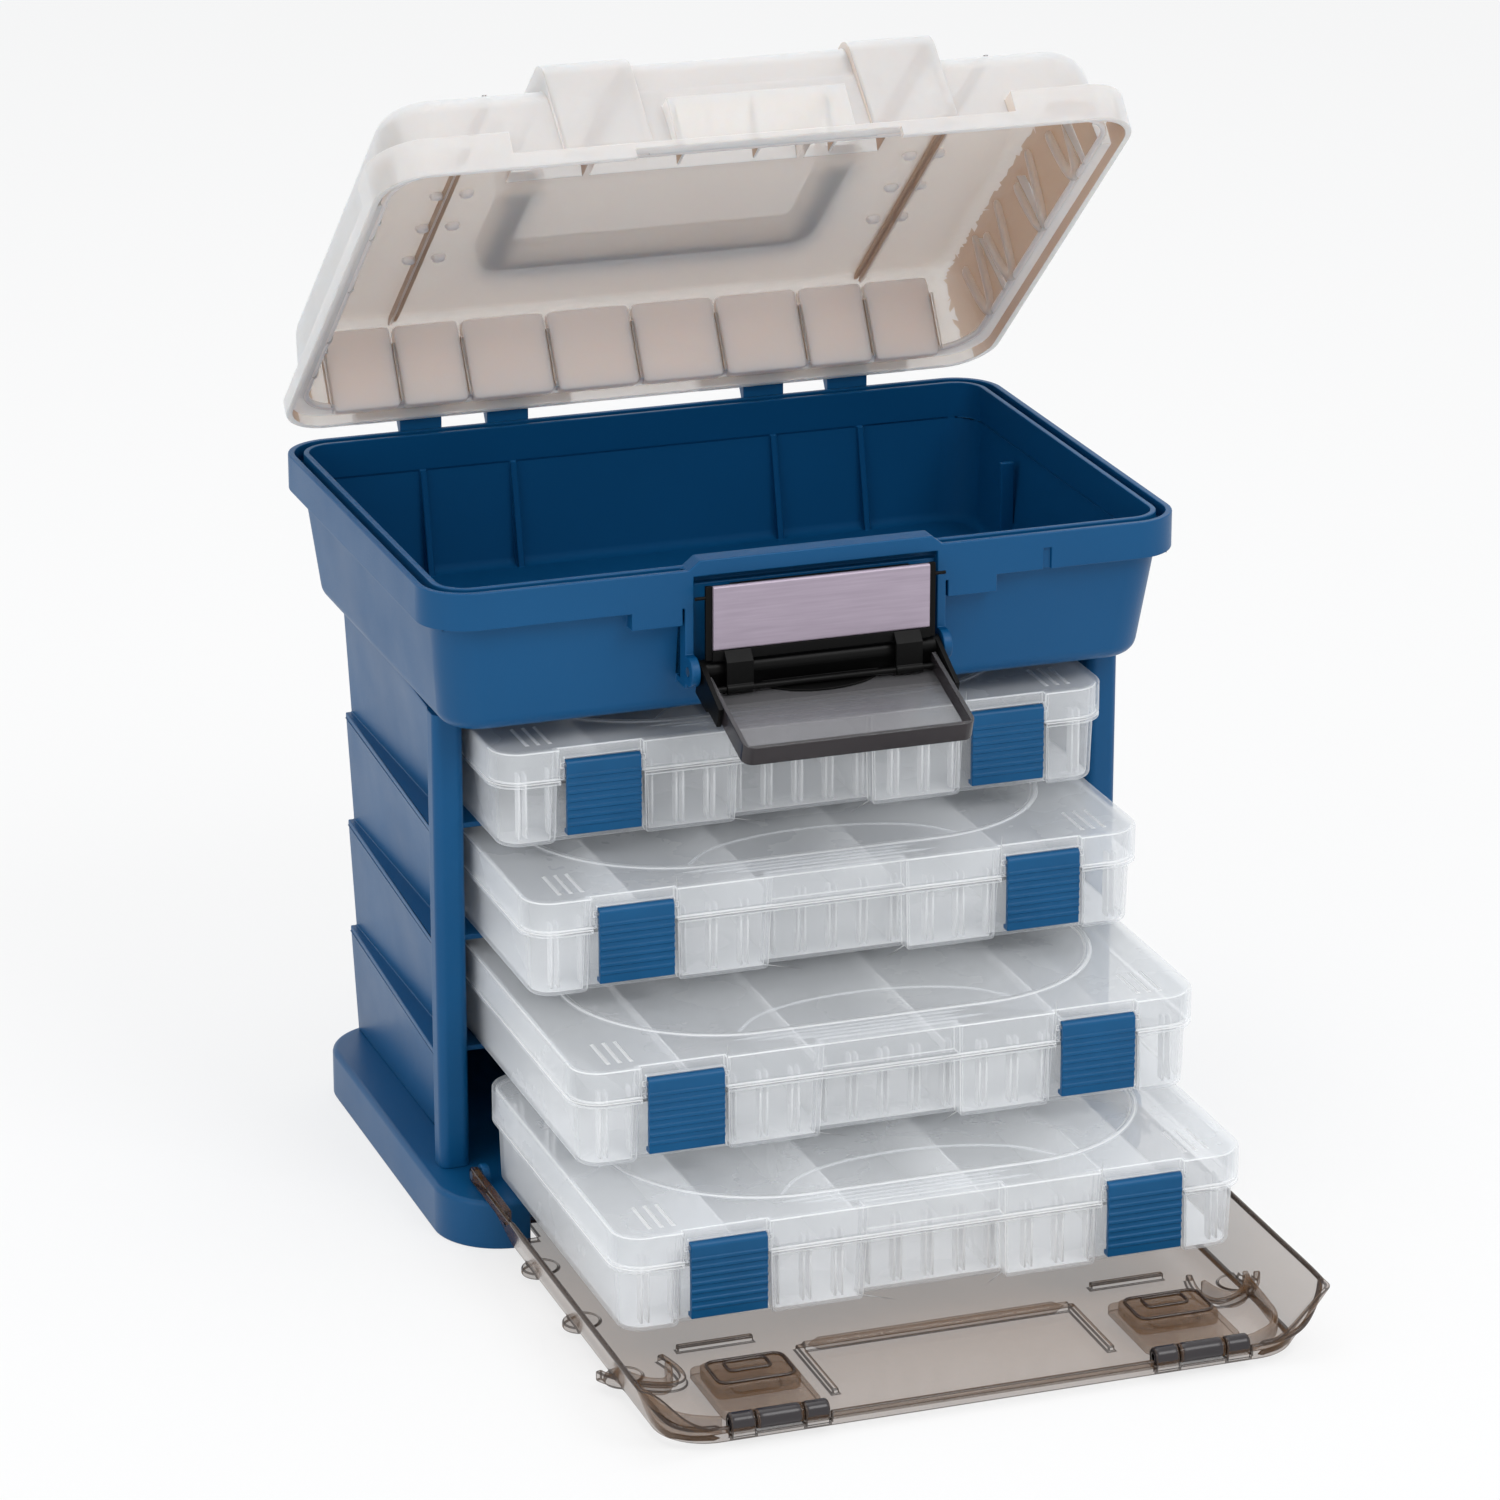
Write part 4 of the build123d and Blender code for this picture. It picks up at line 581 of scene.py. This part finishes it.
# Lid inside, in the places of the shut lid: pads between the back ribs, lugs and strips along the
# roof ribs, a bead at the rim, scallops at the sides and a bar behind the front
lidInsideLook = {
    "padMiddles": (20.25, 60.75, 97, 129.5), "padWidths": (19.4, 19.4, 15.1, 15.6), "padThick": 3.2,
    "padHeight": 18.5, "padPlace": (121.9, 319.3), "padLean": (-5, 25), "padPower": 0.13,
    "roofRib": 113, "lugs": (-64, -34, -4, 26, 56), "lugSteps": (-10.5, 3), "lugHalf": (3.2, 2.6, 2.6),
    "roof": 340.3, "stripX": 110.6, "stripY": 15.5, "stripHalf": (1.1, 101.5, 1.6),
    "barReach": 66, "barPlace": (-82, 337.5), "barSize": (1.3, 4.2), "barTip": 2,
    "bead": (161.0, 110.7, 20), "beadMiddle": 12.9, "beadHeight": 303.6, "beadThick": 1.4,
    "scallops": (-44, 4, 52, 86), "scallopSize": (2.8, 2.2), "scallopTip": 4,
    "scallop": ((-12, 337.5, 156.9), (-8, 325, 158.2), (-3, 311, 159.9), (1, 305, 160.6),
                (6, 307, 160.4), (9, 314, 159.6), (11, 324, 158.4), (12, 332, 157.5)),
}
lean = np.array(lidInsideLook["padLean"], float)
lean /= np.linalg.norm(lean)
padAxes = [(1, 0, 0), (0, lean[0], lean[1]), (0, -lean[1], lean[0])]
pads, lugs, strips, scallops = [], [], [], []
for side in (-1, 1):
    for middle, width in zip(lidInsideLook["padMiddles"], lidInsideLook["padWidths"]):
        half = (width, lidInsideLook["padHeight"], lidInsideLook["padThick"])
        pads.append(opened(pillow((side * middle, *lidInsideLook["padPlace"]), half, padAxes,
                                  lidInsideLook["padPower"], around=48, rows=17)))
    for y in lidInsideLook["lugs"]:
        for step in lidInsideLook["lugSteps"]:
            middle = (side * (lidInsideLook["roofRib"] + step), y, lidInsideLook["roof"])
            lugs.append(opened(pillow(middle, lidInsideLook["lugHalf"], power=0.8, around=24, rows=9)))
    middle = (side * lidInsideLook["stripX"], lidInsideLook["stripY"], lidInsideLook["roof"])
    strips.append(opened(pillow(middle, lidInsideLook["stripHalf"], power=0.2, around=36, rows=13)))
    for place in lidInsideLook["scallops"]:
        path = smoothPath([(side * x, place + y, z) for y, z, x in lidInsideLook["scallop"]], perSpan=6)
        scallops.append(opened(sweep(path, roundProfile(*lidInsideLook["scallopSize"], count=14),
                                     up=(1, 0, 0), swell=roundEnds(path, lidInsideLook["scallopTip"]))))
# Pads, lugs and bead take the lighter painted shade of the lid's inside, the strips the brown painted shade
# of its ribs
shell("lidPads", pads, "lid", milkyPadShade)
shell("lidLugs", lugs, "lid", milkyPadShade)
shell("lidStrips", strips, "lid", milkyRibShade)
bead = levelPath(ovalPath(*lidInsideLook["bead"], perCorner=10), 0, lidInsideLook["beadMiddle"],
                 lidInsideLook["beadHeight"])
beadRound = roundProfile(lidInsideLook["beadThick"], lidInsideLook["beadThick"], count=12)
shell("lidBead", [opened(sweep(bead, beadRound, closed=True))], "lid", milkyPadShade,
      closed=True)
# The scallops and the front bar take the painted shade of the lid's inside
shell("lidScallops", scallops, "lid", milkyInsideShade)
frontBar = np.linspace((-lidInsideLook["barReach"], *lidInsideLook["barPlace"]),
                       (lidInsideLook["barReach"], *lidInsideLook["barPlace"]), 30)
barRings = sweep(frontBar, roundProfile(*lidInsideLook["barSize"], power=0.5),
                 swell=roundEnds(frontBar, lidInsideLook["barTip"]))
shell("lidFrontBar", [opened(barRings)], "lid", milkyInsideShade)
print("lid inside dressed")

# Door: a round bar, low rims round the two front corners, dark lines along its edges and at the
# foot of its walls, and on each latch a pad with two frames and a dark barrel between knuckles
doorLook = {
    "bar": (57, -255.6, 7.3), "barSize": (3.0, 2.5), "tip": 2,
    "rims": (((139.5, -256), (138, -264), (136.5, -282), (134.5, -297), (129, -307), (120, -313),
              (115, -315)),
             ((119, -259), (121, -268), (125, -273.5), (131, -271.5), (135.5, -266), (139, -259))),
    "rimZ": (4, 11), "rimThick": 1.3, "rimPower": 0.35,
    "edge": ((149.6, -136, 28.6), (149.6, -200, 28.6), (149.6, -260, 28.6), (149.6, -304, 28.6),
             (148.6, -310, 27), (144.5, -314.5, 20.5), (138, -317.5, 13), (129, -319.2, 9.6),
             (117, -320, 8.8)),
    "foot": ((137.4, -136, 3.9), (137.4, -220, 3.9), (137.4, -298, 3.9), (131.3, -313.3, 3.9),
             (117, -319.2, 3.9)),
    "edgeRound": 1.2, "footRound": 1.1,
    "latch": 92, "padPlace": (-284, 11.6), "padHalf": (18.5, 12.5, 3.4), "padPower": 0.22,
    "frames": ((16.5, 10.5, 4, -284), (9, 4.5, 2, -280)), "frameTop": 15.0, "frameBar": 0.8,
    "barrel": (-317.5, 9.2), "barrelRadius": 4.12, "barrelEnds": 0.85, "barrelTip": 1,
    "knuckles": ((-21, -10.7), (10.7, 21)), "middle": (-9.9, 9.9),
}
bar = np.linspace((-doorLook["bar"][0], *doorLook["bar"][1:]), doorLook["bar"], 24)
shell("doorBar", [sweep(bar, roundProfile(*doorLook["barSize"]), swell=roundEnds(bar, doorLook["tip"]))],
      "door", materials["smoked_plastic"])
rims, edges = [], []
rimMiddle = sum(doorLook["rimZ"]) / 2
rimProfile = roundProfile(doorLook["rimThick"], doorLook["rimZ"][1] - rimMiddle, doorLook["rimPower"])
for side in (-1, 1):
    for rim in doorLook["rims"]:
        rims.append(sweep(smoothPath([(side * x, y, rimMiddle) for x, y in rim], perSpan=8), rimProfile))
    for line, radius in (("edge", doorLook["edgeRound"]), ("foot", doorLook["footRound"])):
        path = smoothPath(np.array(doorLook[line]) * (side, 1, 1), perSpan=6)
        edges.append(sweep(path, roundProfile(radius, radius, count=12),
                           swell=roundEnds(path, doorLook["tip"])))
shell("doorRims", rims, "door", materials["smoked_plastic"])
shell("doorEdges", edges, "door", smokeEdge)


# Round barrel on the latches' axis from x0 to x1, with ends drawn in to a share of its radius
def barrel(x0, x1):
    path = np.linspace((x0, *doorLook["barrel"]), (x1, *doorLook["barrel"]), 14)
    ends = doorLook["barrelEnds"]
    return sweep(path, roundProfile(doorLook["barrelRadius"], doorLook["barrelRadius"], count=28),
                 swell=ends + (1 - ends) * roundEnds(path, doorLook["barrelTip"]))


shell("doorKnuckles", [barrel(side * doorLook["latch"] + x0, side * doorLook["latch"] + x1)
                       for side in (-1, 1) for x0, x1 in doorLook["knuckles"]],
      "door", charcoal)
frameRound = roundProfile(doorLook["frameBar"], doorLook["frameBar"], count=8)
for side, name in ((-1, "left"), (1, "right")):
    body, middle = f"door_{name}_latch", side * doorLook["latch"]
    x0, x1 = doorLook["middle"]
    shell(f"doorBarrel.{name}", [barrel(middle + x0, middle + x1)], body, charcoal)
    shell(f"doorPad.{name}",
          [pillow((middle, *doorLook["padPlace"]), doorLook["padHalf"], power=doorLook["padPower"])],
          body, materials["smoked_plastic"])
    frames = [sweep(levelPath(ovalPath(halfWidth, halfDepth, corner, perCorner=6), middle, y,
                              doorLook["frameTop"]), frameRound, closed=True)
              for halfWidth, halfDepth, corner, y in doorLook["frames"]]
    shell(f"doorFrames.{name}", frames, body, smokeEdge, closed=True)
print("door dressed")


# One for camera, glossy and transmission rays, and nothing for rays that carry light
def seenBackground(tree):
    path = tree.nodes.new("ShaderNodeLightPath")
    firstMax = tree.nodes.new("ShaderNodeMath")
    firstMax.operation = "MAXIMUM"
    tree.links.new(path.outputs["Is Camera Ray"], firstMax.inputs[0])
    tree.links.new(path.outputs["Is Glossy Ray"], firstMax.inputs[1])
    secondMax = tree.nodes.new("ShaderNodeMath")
    secondMax.operation = "MAXIMUM"
    tree.links.new(firstMax.outputs[0], secondMax.inputs[0])
    tree.links.new(path.outputs["Is Transmission Ray"], secondMax.inputs[1])
    return secondMax.outputs[0]


# Stage: a white floor that keeps the object's shadow, and a pale world
stageLook = {
    "size": 14, "floorDrop": 0.0002, "floorColour": (0.93, 0.93, 0.93, 1), "whiteShare": 0.72,
    "floorRoughness": 0.9, "floorSpecular": 0.1, "ambient": (0.96, 0.98, 1.0, 1), "ambientStrength": 0.62,
}
bpy.ops.mesh.primitive_plane_add(size=stageLook["size"], location=(0, 0, -stageLook["floorDrop"]))
floor = bpy.context.object
floor.name = "floor"
floorMaterial, floorTree, floorShader = newMaterial("floorWhite")[:3]
floorShader.inputs["Base Color"].default_value = stageLook["floorColour"]
floorShader.inputs["Roughness"].default_value = stageLook["floorRoughness"]
floorShader.inputs["Specular IOR Level"].default_value = stageLook["floorSpecular"]
floorGlow = floorTree.nodes.new("ShaderNodeEmission")
floorGlow.inputs["Strength"].default_value = 1.0
floorShare = floorTree.nodes.new("ShaderNodeMath")
floorShare.operation = "MULTIPLY"
floorShare.inputs[1].default_value = stageLook["whiteShare"]
floorTree.links.new(seenBackground(floorTree), floorShare.inputs[0])
floorMix = floorTree.nodes.new("ShaderNodeMixShader")
floorTree.links.new(floorShare.outputs[0], floorMix.inputs["Fac"])
floorTree.links.new(floorShader.outputs[0], floorMix.inputs[1])
floorTree.links.new(floorGlow.outputs[0], floorMix.inputs[2])
floorTree.links.new(floorMix.outputs[0], floorTree.nodes["Material Output"].inputs["Surface"])
floor.data.materials.append(floorMaterial)

world = bpy.data.worlds.new("studio")
bpy.context.scene.world = world
world.use_nodes = True
worldTree = world.node_tree
worldTree.nodes.clear()
output = worldTree.nodes.new("ShaderNodeOutputWorld")
ambient = worldTree.nodes.new("ShaderNodeBackground")
ambient.inputs["Color"].default_value = stageLook["ambient"]
ambient.inputs["Strength"].default_value = stageLook["ambientStrength"]
white = worldTree.nodes.new("ShaderNodeBackground")
white.inputs["Color"].default_value = (1, 1, 1, 1)
chooser = worldTree.nodes.new("ShaderNodeMixShader")
worldTree.links.new(seenBackground(worldTree), chooser.inputs["Fac"])
worldTree.links.new(ambient.outputs[0], chooser.inputs[1])
worldTree.links.new(white.outputs[0], chooser.inputs[2])
worldTree.links.new(chooser.outputs[0], output.inputs["Surface"])
print("floor and world made")

# Lamps: place, size (m) and power (W), all aimed at one point
lampLook = {
    "aim": (0, 0, 0.2),
    "lamps": {"key": ((0.9, -1.9, 2.3), 1.3, 26), "fill": ((-2.2, -1.2, 1.2), 1.6, 12),
              "top": ((0.0, 0.5, 2.6), 1.8, 16)},
}


# Square area lamp that points at a place
def softLamp(name, place, size, power):
    lamp = bpy.data.lights.new(name, "AREA")
    lamp.size = size
    lamp.energy = power
    holder = bpy.data.objects.new(name, lamp)
    holder.location = place
    holder.rotation_euler = (Vector(lampLook["aim"]) - Vector(place)).to_track_quat("-Z", "Y").to_euler()
    bpy.context.scene.collection.objects.link(holder)


for name, lamp in lampLook["lamps"].items():
    softLamp(name, *lamp)

# Camera, fitted to the photograph
cameraLook = {"place": (-0.8215, -2.3494, 1.0565), "pitch": 19.5, "yaw": 19.45,
              "focalPixels": 5950, "framePixels": 1500, "sensor": 36}
camera = bpy.data.cameras.new("camera")
camera.sensor_width = cameraLook["sensor"]
camera.lens = cameraLook["focalPixels"] / cameraLook["framePixels"] * cameraLook["sensor"]
cameraHolder = bpy.data.objects.new("camera", camera)
cameraHolder.location = cameraLook["place"]
cameraHolder.rotation_euler = (radians(90 - cameraLook["pitch"]), 0, -radians(cameraLook["yaw"]))
bpy.context.scene.collection.objects.link(cameraHolder)
bpy.context.scene.camera = cameraHolder
bpy.context.scene.view_settings.view_transform = "Standard"
print("lamps and camera made")
